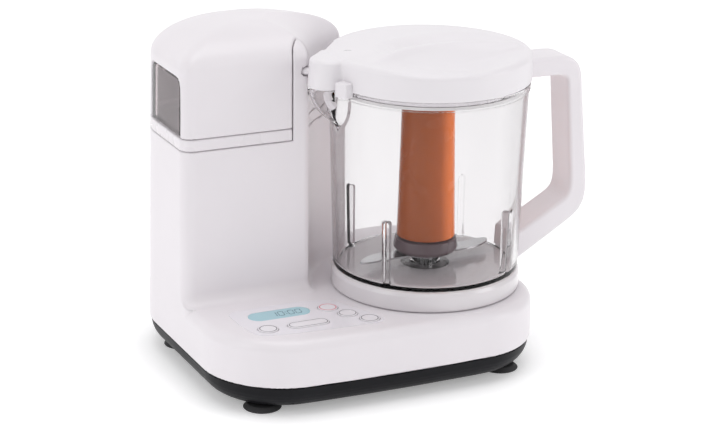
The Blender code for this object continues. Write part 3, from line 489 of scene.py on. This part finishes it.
SLOT_LOOK = {"white_plastic": WHITE, "black_plastic": BLACK, "grey_rubber": GREY_RUBBER, "white_silicone": SILICONE,
             "smoke_plastic": SMOKE, "clear_glass": GLASS, "pale_grey_plastic": COLLAR, "amber_plastic": AMBER,
             "dark_plastic": DARK, "brushed_steel": STEEL, "cast_aluminium": ALU, "copper_winding": COPPER,
             "brass": BRASS, "circuit_green": GREEN, "lcd_cyan": LCDMAT, "key_white": KEYMAT, "panel_white": PANEL}
for entry in frame["record"]["subparts"]:
    node = frame["nodes"].get(entry["node"])
    if node is not None:
        look = SLOT_LOOK[entry["material_slot"]] if entry["node"] not in ("bowl_bush", "upper_bearing") else STEEL
        for s in node.material_slots:
            s.material = look
        if not node.material_slots:
            node.data.materials.append(look)


def put(obj, look, body, slot, *nodes):
    obj.data.materials.clear()
    obj.data.materials.append(look)
    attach(obj, body)
    if nodes:
        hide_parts(*nodes)
    return obj


# ------------------------------------------------------------------ fields of the shells
def rrect(x, y, inset=0.0):
    yy = y + np.where(y < 0, BOW * (1 - np.minimum(1.0, np.abs(x) / HX) ** 2) * np.clip(-y / 40.0, 0, 1), 0.0)
    qx, qy = np.abs(x) - (HX - R), np.abs(yy) - (HY - R)
    return hyp(pos(qx), pos(qy)) + np.minimum(np.maximum(qx, qy), 0.0) - R + inset


def flare_of(z):
    u = np.clip((58.0 - z) / 8.0, 0.0, 1.0)
    return 8.0 * (1 - np.sqrt(np.maximum(1 - u * u, 0.0)))


def tower2(x, y, z, inset=0.0, flare=0.0):
    t = np.clip((z - 50.0) / 150.0, 0.0, 1.0)
    x0, yb, yf = -HX + 2.1 * t, HY - 3.9 * t, -12.0 + 2.5 * t - flare
    qx, qy = x0 + R - x, y - (yb - R)
    d = hyp(pos(qx), pos(qy)) + np.minimum(np.maximum(qx, qy), 0.0) - R
    d = ri(d, yf - y, 8.0)
    d = ri(d, hyp(x + 50.0, y - 14.5) - 78.0, 5.0)
    d = ri(d, 78.0 - 0.5 * flare - hyp(x - BOWL[0], y - BOWL[1]), 3.5)
    return d + inset


def tower3(x, y, z, inset=0.0, flare=0.0, top=TOWER_TOP, high=TOWER_H):
    u = np.clip((z - TOWER_Z0) / high, 0.0, 0.995)
    s = (1 - u ** TOWER_EXP) ** (1 / TOWER_EXP)
    d = tower2(TOWER_MID[0] + (x - TOWER_MID[0]) / s, TOWER_MID[1] + (y - TOWER_MID[1]) / s,
               np.minimum(z, TOWER_Z0), 0.0, flare) * s
    slope = np.sqrt(1 + (0.9 * u ** 2 * 2.2) ** 2)
    return ri(d / slope + inset, z - (top - inset), 2.0)


_seam = [(-38.2, -60.0), (-38.2, -24.0), (-38.0, -12.0), (-36.2, -5.5), (-31.5, 0.8), (-25.0, 5.6), (-17.0, 11.0), (0.0, 22.0), (80.0, 60.0)]
_sy = np.linspace(-60.0, 60.0, 241)
_sx = np.interp(_sy, [q[1] for q in _seam], [q[0] for q in _seam])
_k = np.exp(-np.linspace(-2, 2, 13) ** 2)
_sx = np.convolve(np.pad(_sx, 6, mode="edge"), _k / _k.sum(), mode="valid")
_sd = np.gradient(_sx, _sy)


def seam(x, y):
    """Positive on the corner post's side of the seam."""
    yy = np.clip(y, -60.0, 60.0)
    return (x - np.interp(yy, _sy, _sx)) / np.sqrt(1 + np.interp(yy, _sy, _sd) ** 2)


def rod(x, y, cx, cy, r):
    return hyp(x - cx, y - cy) - r


def pill2(x, y, cx, cy, hx, hy, extra=0.0):
    s = hx - hy
    return hyp(np.maximum(np.abs(x - cx) - s, 0.0), y - cy) - hy - extra


def housing_field(x, y, z):
    base = ri(rrect(x, y), z - 50.0, 7.0)
    tw = tower3(x, y, z, 0.0, flare_of(z))
    low = ri(tw, z - 151.6, 0.6)
    post = ri(tw, -seam(x, y), 1.1)
    out = np.minimum(base, np.minimum(low, post))
    out = ri(out, 20.0 - z, 0.7)
    cav = np.minimum(ri(rrect(x, y, 3.6), z - 46.8, 5.0), np.maximum(tower2(x, y, z, 4.2), z - 148.4))
    f = np.maximum(out, -cav)
    near = (z > 40.0) & (z < 56.0)
    for kx, ky, hx, hy in KEYS.values():
        f = np.maximum(f, np.where(near, -pill2(x, y, kx, ky, hx, hy, 1.0), -9.0))
    f = np.maximum(f, np.where(near, -pill2(x, y, *LCD_C, *LCD_H, -1.2), -9.0))
    f = np.maximum(f, np.where(near, -rod(x, y, BOWL[0], BOWL[1], 8.2), -9.0))
    f = np.maximum(f, np.where((z > 140) & (z < 157), -rod(x, y, TANK_PORT[0], TANK_PORT[1], 14.0), -9.0))
    f = np.maximum(f, np.where(y > 84.0, -(hyp(x + 20.0, z - 34.0) - 5.4), -9.0))
    # steam outlet bore through the post's face
    ox, oy = 0.743, -0.669
    along = (x - POST[0]) * ox + (y - POST[1]) * oy
    off = -(x - POST[0]) * oy + (y - POST[1]) * ox
    f = np.maximum(f, np.where((along > 0.5) & (along < 16.0), -(hyp(off, z - 196.0) - 3.4), -9.0))
    return f


def window2(y, z, grow=0.0):
    """Rounded window opening in the tower's left side."""
    qx, qz = np.abs(y - 23.2) - 26.6 + 6.0 - grow, np.abs(z - 174.0) - 24.0 + 6.0 - grow
    return hyp(pos(qx), pos(qz)) + np.minimum(np.maximum(qx, qz), 0.0) - 6.0


def cover_field(x, y, z):
    outer = tower3(x, y, z, -0.15)
    shell = ri(ri(outer, seam(x, y) + 0.5, 1.0), 159.8 - z, 0.6)
    inner = np.maximum(np.maximum(tower3(x, y, z, 2.6, high=TOWER_H - 4.5), seam(x, y) + 3.2), z - 218.5)
    f = np.maximum(shell, -inner)
    win = np.maximum(window2(y, z), x + 104.0)
    return ri(f, -win, 0.5)


def rim_field(x, y, z):
    outer = ri(tower2(x, y, z, -0.1), seam(x, y) + 0.5, 1.0)
    inner = np.maximum(tower2(x, y, z, 3.1), seam(x, y) + 3.6)
    band = ri(ri(outer, z - 159.4, 0.7), 151.9 - z, 0.7)
    return np.maximum(band, -inner)


def tank_field(x, y, z):
    pane = np.maximum(ri(tower2(x, y, z, 0.5), np.maximum(window2(y, z, -0.5), x + 104.5), 0.6), -tower2(x, y, z, 4.6))
    pane = np.maximum(pane, 160.3 - z)
    body = ri(ri(tower2(x, y, z, 3.5), seam(x, y) + 4.0, 2.0), 152.2 - z, 1.0)
    body = np.maximum(body, z - 196.0)
    inside = np.maximum(np.maximum(tower2(x, y, z, 5.6), seam(x, y) + 6.1), 154.6 - z)
    body = np.maximum(body, -inside)
    f = np.minimum(pane, body)
    return np.maximum(f, np.where(z < 157.0, -rod(x, y, TANK_PORT[0], TANK_PORT[1], 7.2), -9.0))


def tray_field(x, y, z):
    ins = np.interp(z, [3.0, 3.6, 4.4, 5.2, 7.0, 9.0, 11.5, 14.0, 19.7, 30.0],
                    [14.6, 13.4, 11.4, 9.5, 6.7, 4.7, 3.0, 1.9, 0.6, 0.4])
    d = ri(rrect(x, y) + ins, 3.6 - z, 1.2)
    d = np.maximum(d, z - 19.65)
    cav = np.maximum(rrect(x, y) + ins + 2.8, 6.1 - z)
    f = np.maximum(d, -cav)
    for k in range(6):
        cx = -50.5 + 7 * k
        slot = hyp(x - cx, np.maximum(np.abs(y - 45.0) - 15.5, 0.0)) - 1.5
        f = np.maximum(f, np.where(z < 8.0, -slot, -9.0))
    for sx in (-62, 62):
        for sy in (-62, 62):
            f = np.maximum(f, np.where(z < 12.0, -rod(x, y, sx, sy, 4.2), -9.0))
    return f


# ------------------------------------------------------------------ bowl, handle and lid fields (about the bowl axis)
SP = math.radians(178.0)
SPC, SPS = math.cos(SP), math.sin(SP)


def beak2(u, v, z, grow=0.0):
    t = (z - 163.5) / 26.0
    q = 1 - (1 - np.clip(t, 0.0, 1.0)) ** 2.5
    half = 13.4 * q ** 0.7
    c = 63.0 + 19.0 * q - half
    r = np.where(t > 0, half, 30.0 * t) + grow
    return (hyp(u - c * SPC, v - c * SPS) - r) * 0.8


def wall_out(z):
    return 60.7 + (z - 66.0) * (64.4 - 60.7) / 117.6


def bowl_outer2(u, v, z):
    r = hyp(u, v)
    return ru(r - wall_out(z), beak2(u, v, z), 6.0)


def bowl_field(x, y, z):
    u, v = x - BOWL[0], y - BOWL[1]
    r = hyp(u, v)
    out = bowl_outer2(u, v, z) - 0.8 * smooth(z, 183.0, 184.2)
    out = ri(out, 63.3 - z, 2.0)
    inn = ru(r - (57.7 + (z - 69.0) * 3.6 / 114.0), beak2(u, v, z, -2.4), 4.5)
    inn = ri(inn, 65.2 - z, 3.0)
    f = ri(np.maximum(out, -inn), z - 189.2, 1.0)
    f = ru(f, ri(r - 9.0, z - 86.0, 1.0), 2.0)
    for a in (38, 128, 218, 308):
        ca, sa = math.cos(math.radians(a)), math.sin(math.radians(a))
        p, q = u * ca + v * sa, -u * sa + v * ca
        rib = ri(ri(ri(np.abs(q) - 2.0, 53.2 - p, 1.2), z - 108.0, 2.0), p - 60.0, 0.5)
        f = ru(f, np.maximum(rib, 64.3 - z), 1.2)
    f = np.maximum(f, 63.3 - z)
    return np.maximum(f, -(r - 6.4))


_outer = [(40.0, 196.7), (64.0, 196.7), (88.0, 196.9), (96.6, 195.9), (103.0, 191.6), (105.9, 185.0), (106.9, 176.0),
          (108.2, 160.0), (112.9, 113.0), (113.2, 104.0), (112.0, 95.0), (107.5, 88.0), (100.0, 82.4), (40.0, 47.4)]
_inner = [(40.0, 184.0), (64.0, 184.0), (89.0, 183.8), (93.8, 182.6), (95.4, 179.0), (95.8, 170.0), (100.0, 116.0),
          (100.2, 107.0), (98.2, 100.4), (90.0, 95.2), (40.0, 67.6)]


def open_soft(p, times=2):
    for _ in range(times):
        q = [p[0]]
        for a, b in zip(p[:-1], p[1:]):
            q.append((a[0] * 0.75 + b[0] * 0.25, a[1] * 0.75 + b[1] * 0.25))
            q.append((a[0] * 0.25 + b[0] * 0.75, a[1] * 0.25 + b[1] * 0.75))
        q.append(p[-1])
        p = q
    return p


_hp = open_soft(_outer) + open_soft(_inner)[::-1]
_gx, _gz = np.arange(38.0, 120.1, 0.4), np.arange(38.0, 204.1, 0.4)


def polygon_table(poly, gx, gz):
    px, pz = np.meshgrid(gx, gz, indexing="ij")
    best = np.full(px.shape, 1e9)
    inside = np.zeros(px.shape, bool)
    for (ax_, az), (bx_, bz) in zip(poly, poly[1:] + poly[:1]):
        ex, ez = bx_ - ax_, bz - az
        t = np.clip(((px - ax_) * ex + (pz - az) * ez) / (ex * ex + ez * ez + 1e-12), 0, 1)
        best = np.minimum(best, (px - ax_ - ex * t) ** 2 + (pz - az - ez * t) ** 2)
        cross = ((az > pz) != (bz > pz)) & (px < (bx_ - ax_) * (pz - az) / (bz - az + 1e-12) + ax_)
        inside ^= cross
    return np.where(inside, -1.0, 1.0) * np.sqrt(best)


_ht = polygon_table(_hp, _gx, _gz)


def table2(tab, gx, gz, u, z):
    u, z = np.broadcast_arrays(u, z)
    fx = np.clip((u - gx[0]) / (gx[1] - gx[0]), 0, len(gx) - 1.001)
    fz = np.clip((z - gz[0]) / (gz[1] - gz[0]), 0, len(gz) - 1.001)
    i, k = fx.astype(int), fz.astype(int)
    a, b = fx - i, fz - k
    return (tab[i, k] * (1 - a) * (1 - b) + tab[i + 1, k] * a * (1 - b) + tab[i, k + 1] * (1 - a) * b + tab[i + 1, k + 1] * a * b)


def handle_field(x, y, z):
    u, v = x - BOWL[0], y - BOWL[1]
    r = hyp(u, v)
    d = ri(table2(_ht, _gx, _gz, u, z), np.abs(v) - 13.0, 2.8)
    keep = np.where(z > 189.35, 66.3, np.where(z > 183.7, 65.6, wall_out(z) + 0.5))
    keep = np.where(z < 63.6, 62.3, keep)
    return np.maximum(np.maximum(d, keep - r), 40.0 - u)


def crest(u):
    return -3.2 - 0.0055 * (u - 4.0) ** 2


def lid_top(u, v):
    r = hyp(u, v)
    h = 207.9 + 1.0 * (1 - (r / 64.0) ** 2)
    c = crest(u)
    lens = np.clip(1 - ((u - 3.0) / 60.0) ** 2, 0, 1)
    # grip ridge
    h = h + 2.7 * np.exp(-((v - c) / 5.2) ** 2) * smooth(u, -56.0, -22.0) * smooth(-u, -62.0, -52.0)
    # front scoop between the ridge and the rim
    s = pos(c - 1.5 - v)
    e = pos(61.5 - r)
    x = s / (s + e + 1e-6)
    h = h - 5.4 * lens ** 0.8 * (1 - 0.25 * smooth(-u, -10.0, 40.0)) * smooth(x, 0.0, 0.42) * smooth(e, -1.0, 26.0) ** 0.8
    h = h - 1.4 * smooth(-v, 20.0, 60.0) * smooth(30.0 - np.abs(u + 14.0), -14.0, 12.0)
    # shallower one behind
    cb = 34.0 - 0.0065 * (u - 16.0) ** 2
    s = pos(v - c - 2.0)
    e = pos(cb - v)
    x = s / (s + e + 1e-6)
    back = pos(1 - ((u - 12.0) / 48.0) ** 2) ** 0.8
    h = h - 3.6 * back * smooth(x, 0.0, 0.6) * smooth(1 - x, 0.0, 0.9) * 2.2 * smooth(s + e, 4.0, 30.0)
    return h


EAR = (-22.5 - BOWL[0], -23.0 - BOWL[1], 10.0)
_d = math.hypot(EAR[0], EAR[1])
_t = math.atan2(EAR[1], EAR[0]) - math.acos((64.5 - EAR[2]) / _d)
NX, NY = math.cos(_t), math.sin(_t)


def ear2(u, v, z):
    """Nose over the beak: a round end between the front face and the face towards the post."""
    k = 0.13 * (z - 190.0)
    qu, qv = u + 71.0 - k, v - 2.0 - k
    a, b = NX * qu + NY * qv, -qv
    tip = (a + NY * b > 0) & (b + NY * a > 0)
    d = np.where(tip, hyp(qu, qv), np.maximum(a, b)) - 12.2
    return np.maximum(np.maximum(d, NY * u - NX * v), u + 20.0)


def groove(u, v, z, a, b, r, low):
    """Cutter for a short slot from a to b, down to the height low."""
    du, dv = b[0] - a[0], b[1] - a[1]
    t = np.clip(((u - a[0]) * du + (v - a[1]) * dv) / (du * du + dv * dv), 0.0, 1.0)
    return ri(hyp(u - a[0] - du * t, v - a[1] - dv * t) - r * (1 - 0.5 * t), low - z, 0.3)


def lid_field(x, y, z):
    u, v = x - BOWL[0], y - BOWL[1]
    r = hyp(u, v)
    top = (z - lid_top(u, v)) * 0.97
    side = r - (65.9 - 0.02 * (z - 189.6))
    disc = ri(side, top, 3.2)
    ear = ri(ear2(u, v, z), z - (207.3 + 0.012 * (r - 66.0)), 2.2)
    f = ru(disc, ear, 1.6)
    f = np.maximum(f, -groove(u, v, z, (-63.6, 25.4), (-50.6, 39.4), 1.7, 204.2))
    f = np.maximum(f, -groove(u, v, z, (-53.4, 13.2), (-49.0, 12.2), 0.9, 206.6))
    # tab in front of the ear
    ca, sa = math.cos(math.radians(202.5)), math.sin(math.radians(202.5))
    p, q = u * ca + v * sa, -u * sa + v * ca
    tab = ri(ri(ri(np.abs(q + 11.3) - 4.8, p - 71.4, 1.0), z - 195.6, 0.8), 60.0 - p, 0.1)
    tab = np.maximum(ri(tab, 186.2 - z, 0.8), np.where(z < 189.7, 0.5 - bowl_outer2(u, v, z), -9.0))
    f = ri(f, 189.6 - z, 0.6)
    f = np.minimum(f, tab)
    # underside
    cav = ri(ri(r - 58.4, z - 201.0, 3.0), -(z - 150.0), 0.1)
    f = np.maximum(f, -cav)
    pocket = ri(ri(ear2(u, v, z) + 2.4, z - 203.6, 1.5), 66.5 - r, 1.0)
    f = np.maximum(f, -pocket)
    plug = np.maximum(np.abs(r - 59.5) - 1.1, np.abs(z - 188.5) - 2.5)
    f = np.minimum(f, plug)
    guide = np.maximum(np.abs(r - 21.6) - 1.0, np.abs(z - 193.5) - 9.5)
    f = np.minimum(f, guide)
    ox, oy = 0.743, -0.669
    px, py = POST[0] - BOWL[0], POST[1] - BOWL[1]
    along = (u - px) * ox + (v - py) * oy
    off = -(u - px) * oy + (v - py) * ox
    return np.maximum(f, np.where((along > 4.0) & (along < 17.0), -(hyp(off, z - 196.0) - 2.2), -9.0))


# ------------------------------------------------------------------ build the pieces
put(field_object("shell", housing_field, (-116, -102, 18), (116, 98, 226), 1.35), WHITE, "base", "white_plastic", "housing")
put(field_object("tank_dome", cover_field, (-116, -18, 156), (26, 97, 226), 1.3), WHITE, "tank", "white_plastic", "tank_cover")
put(field_object("tank_band", rim_field, (-116, -18, 149), (26, 97, 162), 1.1), WHITE_TRIM, "tank", "white_plastic", "tank_rim")
reservoir = put(field_object("tank_reservoir", tank_field, (-114, -14, 149), (24, 95, 200), 1.2), SMOKE, "tank", "smoke_plastic", "tank_body")
reservoir.visible_shadow = False
reservoir.visible_diffuse = False
put(field_object("tray", tray_field, (-116, -102, 1), (116, 97, 22), 1.3), BLACK, "base", "black_plastic", "base_tray")
clear_bowl = put(field_object("clear_bowl", bowl_field, (-39, -94, 61), (118, 42, 192), 1.05), GLASS, "bowl_unit", "clear_glass", "bowl")
clear_bowl.visible_shadow = False
clear_bowl.visible_diffuse = False
put(field_object("handle", handle_field, (98, -42, 44), (166, -11, 200), 0.9), WHITE, "bowl_unit", "white_plastic", "bowl_handle")
put(field_object("lid_shell", lid_field, (-38, -95, 181), (119, 42, 214), 0.8), WHITE_LID, "lid_unit", "white_plastic", "lid")

put(lathe("collar", [(57.0, 59.6), (57.0, 50.6, 0.4), (60.9, 50.4, 0.8), (61.8, 51.6, 0.8), (61.7, 60.6, 1.6), (60.4, 62.95, 0.6),
                     (16.0, 62.95, 0.4), (16.0, 59.8, 0.4), (57.0, 59.6)]), COLLAR, "bowl_unit", "pale_grey_plastic", "bowl_collar")
put(lathe("column", [(0.0, 172.0), (15.0, 172.0, 0.5), (16.4, 110.0), (17.2, 83.2, 0.4), (19.1, 83.1, 0.6), (18.4, 110.0), (17.7, 143.0),
                     (17.0, 176.2, 3.0), (15.0, 179.9, 2.2), (0.0, 180.0)]), AMBER, "blade", "amber_plastic", "blade_sleeve")
put(lathe("hub", [(16.8, 82.4), (20.2, 81.7, 1.0), (21.0, 75.2, 1.4), (19.0, 72.7, 0.8), (9.95, 72.65, 0.2), (9.95, 88.3, 0.6), (4.4, 89.6),
                  (4.4, 92.5, 0.4), (12.4, 92.5, 0.8), (12.5, 86.2, 0.6), (16.6, 84.6, 0.6), (16.8, 82.4)]), HUB, "blade", "dark_plastic", "blade_hub")


def blade_outline():
    arm = [(12.5, -6.5), (26.0, -7.5), (40.0, -4.0), (50.0, 4.5), (47.0, 8.5), (36.0, 7.0), (24.0, 6.5), (13.0, 6.0)]
    pts = []
    for s in (1, -1):
        pts += [(s * x, s * y) for x, y in arm]
        pts += [(s * 8.0, s * 11.6), (0.0, s * 14.1), (-s * 8.0, s * 11.6)]
    return pts


def ring2(r, n=64, cx=0.0, cy=0.0):
    return [(cx + r * math.cos(math.tau * k / n), cy + r * math.sin(math.tau * k / n)) for k in range(n)]


put(plate("cutting_blade", soften(blade_outline(), 2), 70.45, 71.75, holes=[ring2(10.2)], bevel=0.55, segments=2, centre=BOWL),
    BLADE, "blade", "brushed_steel", "blade_set")


def star(r_out, r_in, lobes, n):
    return [((r_in + (r_out - r_in) * (0.5 + 0.5 * math.cos(lobes * math.tau * i / n))) * math.cos(math.tau * i / n),
             (r_in + (r_out - r_in) * (0.5 + 0.5 * math.cos(lobes * math.tau * i / n))) * math.sin(math.tau * i / n)) for i in range(n)]


put(plate("drive_star", star(10.0, 7.6, 6, 96), 51.0, 58.4, holes=[ring2(4.3, 40)], bevel=0.5, centre=BOWL), DARK, "drive", "dark_plastic", "drive_coupling")

# steam outlet: a short tapered nozzle lying between the post and the lid's nose
lo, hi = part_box("steam_outlet")
outlet = lathe("outlet", [(1.1, 3.3), (1.1, -3.3), (2.7, -3.3, 0.2), (2.6, -1.2, 0.6), (1.9, 2.9, 0.5), (1.1, 3.3)], (0.0, 0.0), 48)
turn = Vector((0.743, -0.669, 0.0)).to_track_quat("Z", "Y").to_matrix().to_4x4()
outlet.data.transform(Matrix.Translation((Vector(lo) + Vector(hi)) / 2) @ turn @ Matrix.Translation((-OX / 1000, -OY / 1000, 0)))
put(outlet, WHITE, "base", "white_plastic", "steam_outlet")

for name in ("foot_front_left", "foot_front_right", "foot_rear_left", "foot_rear_right"):
    lo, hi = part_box(name)
    c = ((lo[0] + hi[0]) * 500 - OX, (lo[1] + hi[1]) * 500 - OY)
    put(lathe(name + "_pad", [(0.0, 3.2), (4.0, 3.2), (9.4, 3.05, 1.0), (12.3, 0.5, 0.5), (11.8, 0.02, 0.2), (10.4, 0.02, 0.2), (9.8, 0.5, 0.2),
                              (8.8, 0.5, 0.2), (8.2, 0.02, 0.2), (0.0, 0.02)], c, 72), RUBBER, "base", "grey_rubber", name)
for name in ("tray_screw_front_left", "tray_screw_front_right", "tray_screw_rear_left", "tray_screw_rear_right"):
    lo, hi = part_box(name)
    c = ((lo[0] + hi[0]) * 500 - OX, (lo[1] + hi[1]) * 500 - OY)
    prof = [(0.0, 14.9), (1.4, 13.8)]
    for k in range(9):
        z = 13.2 - 1.1 * k
        prof += [(1.85, z), (1.45, z - 0.55)]
    prof += [(1.8, 3.4), (3.7, 3.2, 0.3), (3.6, 2.0, 0.5), (2.4, 1.55, 0.3), (1.3, 1.6), (1.2, 2.4), (0.0, 2.5)]
    put(lathe(name + "_metal", prof, c, 36), STEEL, "base", "brushed_steel", name)

# control panel: film, display window with segment digits, key caps with printed rings
holes = [pill(x, y, hx, hy, 0.35) for x, y, hx, hy in KEYS.values()] + [pill(*LCD_C, *LCD_H, 0.3)]
put(plate("panel_sheet", soften(PANEL_OUT, 3), 49.5, 50.22, holes=holes, bevel=0.14), PANEL, "base", "panel_white", "control_panel")
put(plate("display_glass", pill(*LCD_C, *LCD_H), 49.5, 50.24, bevel=0.16), LCDMAT, "base", "lcd_cyan", "lcd_lens")


def segments(cx, cy, which, w=3.5, h=6.6, t=0.5):
    """Bars of one seven-segment digit, leaning a little."""
    bars = {"a": (0, h / 2, w, 0), "g": (0, 0, w, 0), "d": (0, -h / 2, w, 0), "f": (-w / 2, h / 4, 0, h / 2), "b": (w / 2, h / 4, 0, h / 2),
            "e": (-w / 2, -h / 4, 0, h / 2), "c": (w / 2, -h / 4, 0, h / 2)}
    out = []
    for k in which:
        bx, by, lx, ly = bars[k]
        hx, hy = max(lx / 2 - 0.35, t / 2), max(ly / 2 - 0.35, t / 2)
        pts = [(bx - hx, by - hy), (bx + hx, by - hy), (bx + hx, by + hy), (bx - hx, by + hy)]
        out.append([(cx + px + 0.1 * (cy * 0 + py), cy + py) for px, py in pts])
    return out


bars = segments(-66.0, LCD_C[1], "bc") + segments(-61.0, LCD_C[1], "abcdef") + segments(-54.2, LCD_C[1], "abcdef") + segments(-49.2, LCD_C[1], "abcdef")
bars += [ring2(0.42, 12, -57.6, LCD_C[1] + 1.4), ring2(0.42, 12, -57.6, LCD_C[1] - 1.4)]
digits = [plate("seg_%d" % i, b, 50.2, 50.29, bevel=0) for i, b in enumerate(bars)]
put(join("display_digits", digits), DIGIT, "base", "lcd_cyan")

for name, (kx, ky, hx, hy) in KEYS.items():
    body = name[4:] + "_key"
    lo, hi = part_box(name)
    top = hi[2] * 1000
    cap = plate(name + "_cap", pill(kx, ky, hx, hy), lo[2] * 1000, top, bevel=0.5, segments=4)
    put(cap, KEYMAT, body, "key_white", name)
    look = RING_RED if name == "key_stop" else RING_GREY
    wide = 0.6
    out = pill(kx, ky, hx, hy, -0.75)
    inn = pill(kx, ky, hx, hy, -0.75 - wide)
    ring = plate(name + "_ring", out, top - 0.15, top - 0.005 + 0.03, holes=[inn], bevel=0)
    put(ring, look, body, "key_white")

g_lo, g_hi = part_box("cord_grommet")

# ------------------------------------------------------------------ floor, light and camera
floor_me = bpy.data.meshes.new("floor")
fl, fb = 6.0, 6.0
prof = [(-fl, 0.0), (1.6, 0.0)] + [(1.6 + 1.2 * math.sin(math.radians(a)), 1.2 - 1.2 * math.cos(math.radians(a))) for a in range(6, 91, 6)] + [(2.8, 6.0)]
fv, ff = [], []
for i, (yy, zz) in enumerate(prof):
    fv += [(-fb, yy, zz - 0.0001), (fb, yy, zz - 0.0001)]
    if i:
        ff.append((2 * i - 2, 2 * i - 1, 2 * i + 1, 2 * i))
floor_me.from_pydata(fv, [], ff)
floor_me.shade_smooth()
floor = bpy.data.objects.new("floor", floor_me)
bpy.context.scene.collection.objects.link(floor)
fm, fnt, fbs = nodes_of("studio_floor")
fnt.links.new(ramp(fnt, noise(fnt, 3.0, 2.0), [(0.3, (0.93, 0.93, 0.935)), (0.7, (0.95, 0.95, 0.955))]), fbs.inputs["Base Color"])
fbs.inputs["Roughness"].default_value = 0.5
fbs.inputs["Emission Color"].default_value = (1, 1, 1, 1)
fbs.inputs["Emission Strength"].default_value = 0.28
fbs.inputs["Specular IOR Level"].default_value = 0.2
floor_me.materials.append(fm)

bpy.context.scene.view_settings.view_transform = "Standard"
world = bpy.data.worlds.new("studio") if not bpy.data.worlds else bpy.data.worlds[0]
bpy.context.scene.world = world
world.use_nodes = True
bg = world.node_tree.nodes.get("Background") or world.node_tree.nodes.new("ShaderNodeBackground")
bg.inputs["Color"].default_value = (1.0, 0.99, 1.0, 1)
bg.inputs["Strength"].default_value = 0.48


def area(name, loc, target, size, power, colour=(1, 1, 1)):
    l = bpy.data.lights.new(name, "AREA")
    l.shape = "RECTANGLE"
    l.size, l.size_y = size
    l.energy = power
    l.color = colour
    o = bpy.data.objects.new(name, l)
    o.location = loc
    d = Vector(target) - Vector(loc)
    o.rotation_euler = d.to_track_quat("-Z", "Y").to_euler()
    bpy.context.scene.collection.objects.link(o)
    return o


area("top_light", (0.0, -0.1, 1.8), (0, 0, 0.1), (1.4, 1.2), 11.5)
area("key_light", (-0.7, -1.5, 1.1), (0, 0, 0.1), (1.1, 0.9), 0.8)
area("side_light", (1.5, -1.1, 0.65), (0, 0, 0.12), (0.7, 1.1), 8.0)
area("left_light", (-1.6, -0.3, 0.8), (0, 0, 0.12), (0.8, 1.2), 5.5)

yaw, pitch, roll = math.radians(25.104), math.radians(18.53), math.radians(0.792)
fwd = Vector((math.sin(yaw) * math.cos(pitch), math.cos(yaw) * math.cos(pitch), -math.sin(pitch)))
right0 = Vector((math.cos(yaw), -math.sin(yaw), 0))
up0 = right0.cross(fwd)
right = math.cos(roll) * right0 + math.sin(roll) * up0
up = -math.sin(roll) * right0 + math.cos(roll) * up0
cam_data = bpy.data.cameras.new("camera")
cam_data.lens = 116.4
cam_data.sensor_width = 36.0
cam_data.clip_end = 50
cam = bpy.data.objects.new("camera", cam_data)
m = Matrix((right, up, -fwd)).transposed().to_4x4()
m.translation = Vector(((-600.9 + OX) / 1000, (-1314.7 + OY) / 1000, 0.5778))
cam.matrix_world = m
bpy.context.scene.collection.objects.link(cam)
bpy.context.scene.camera = cam
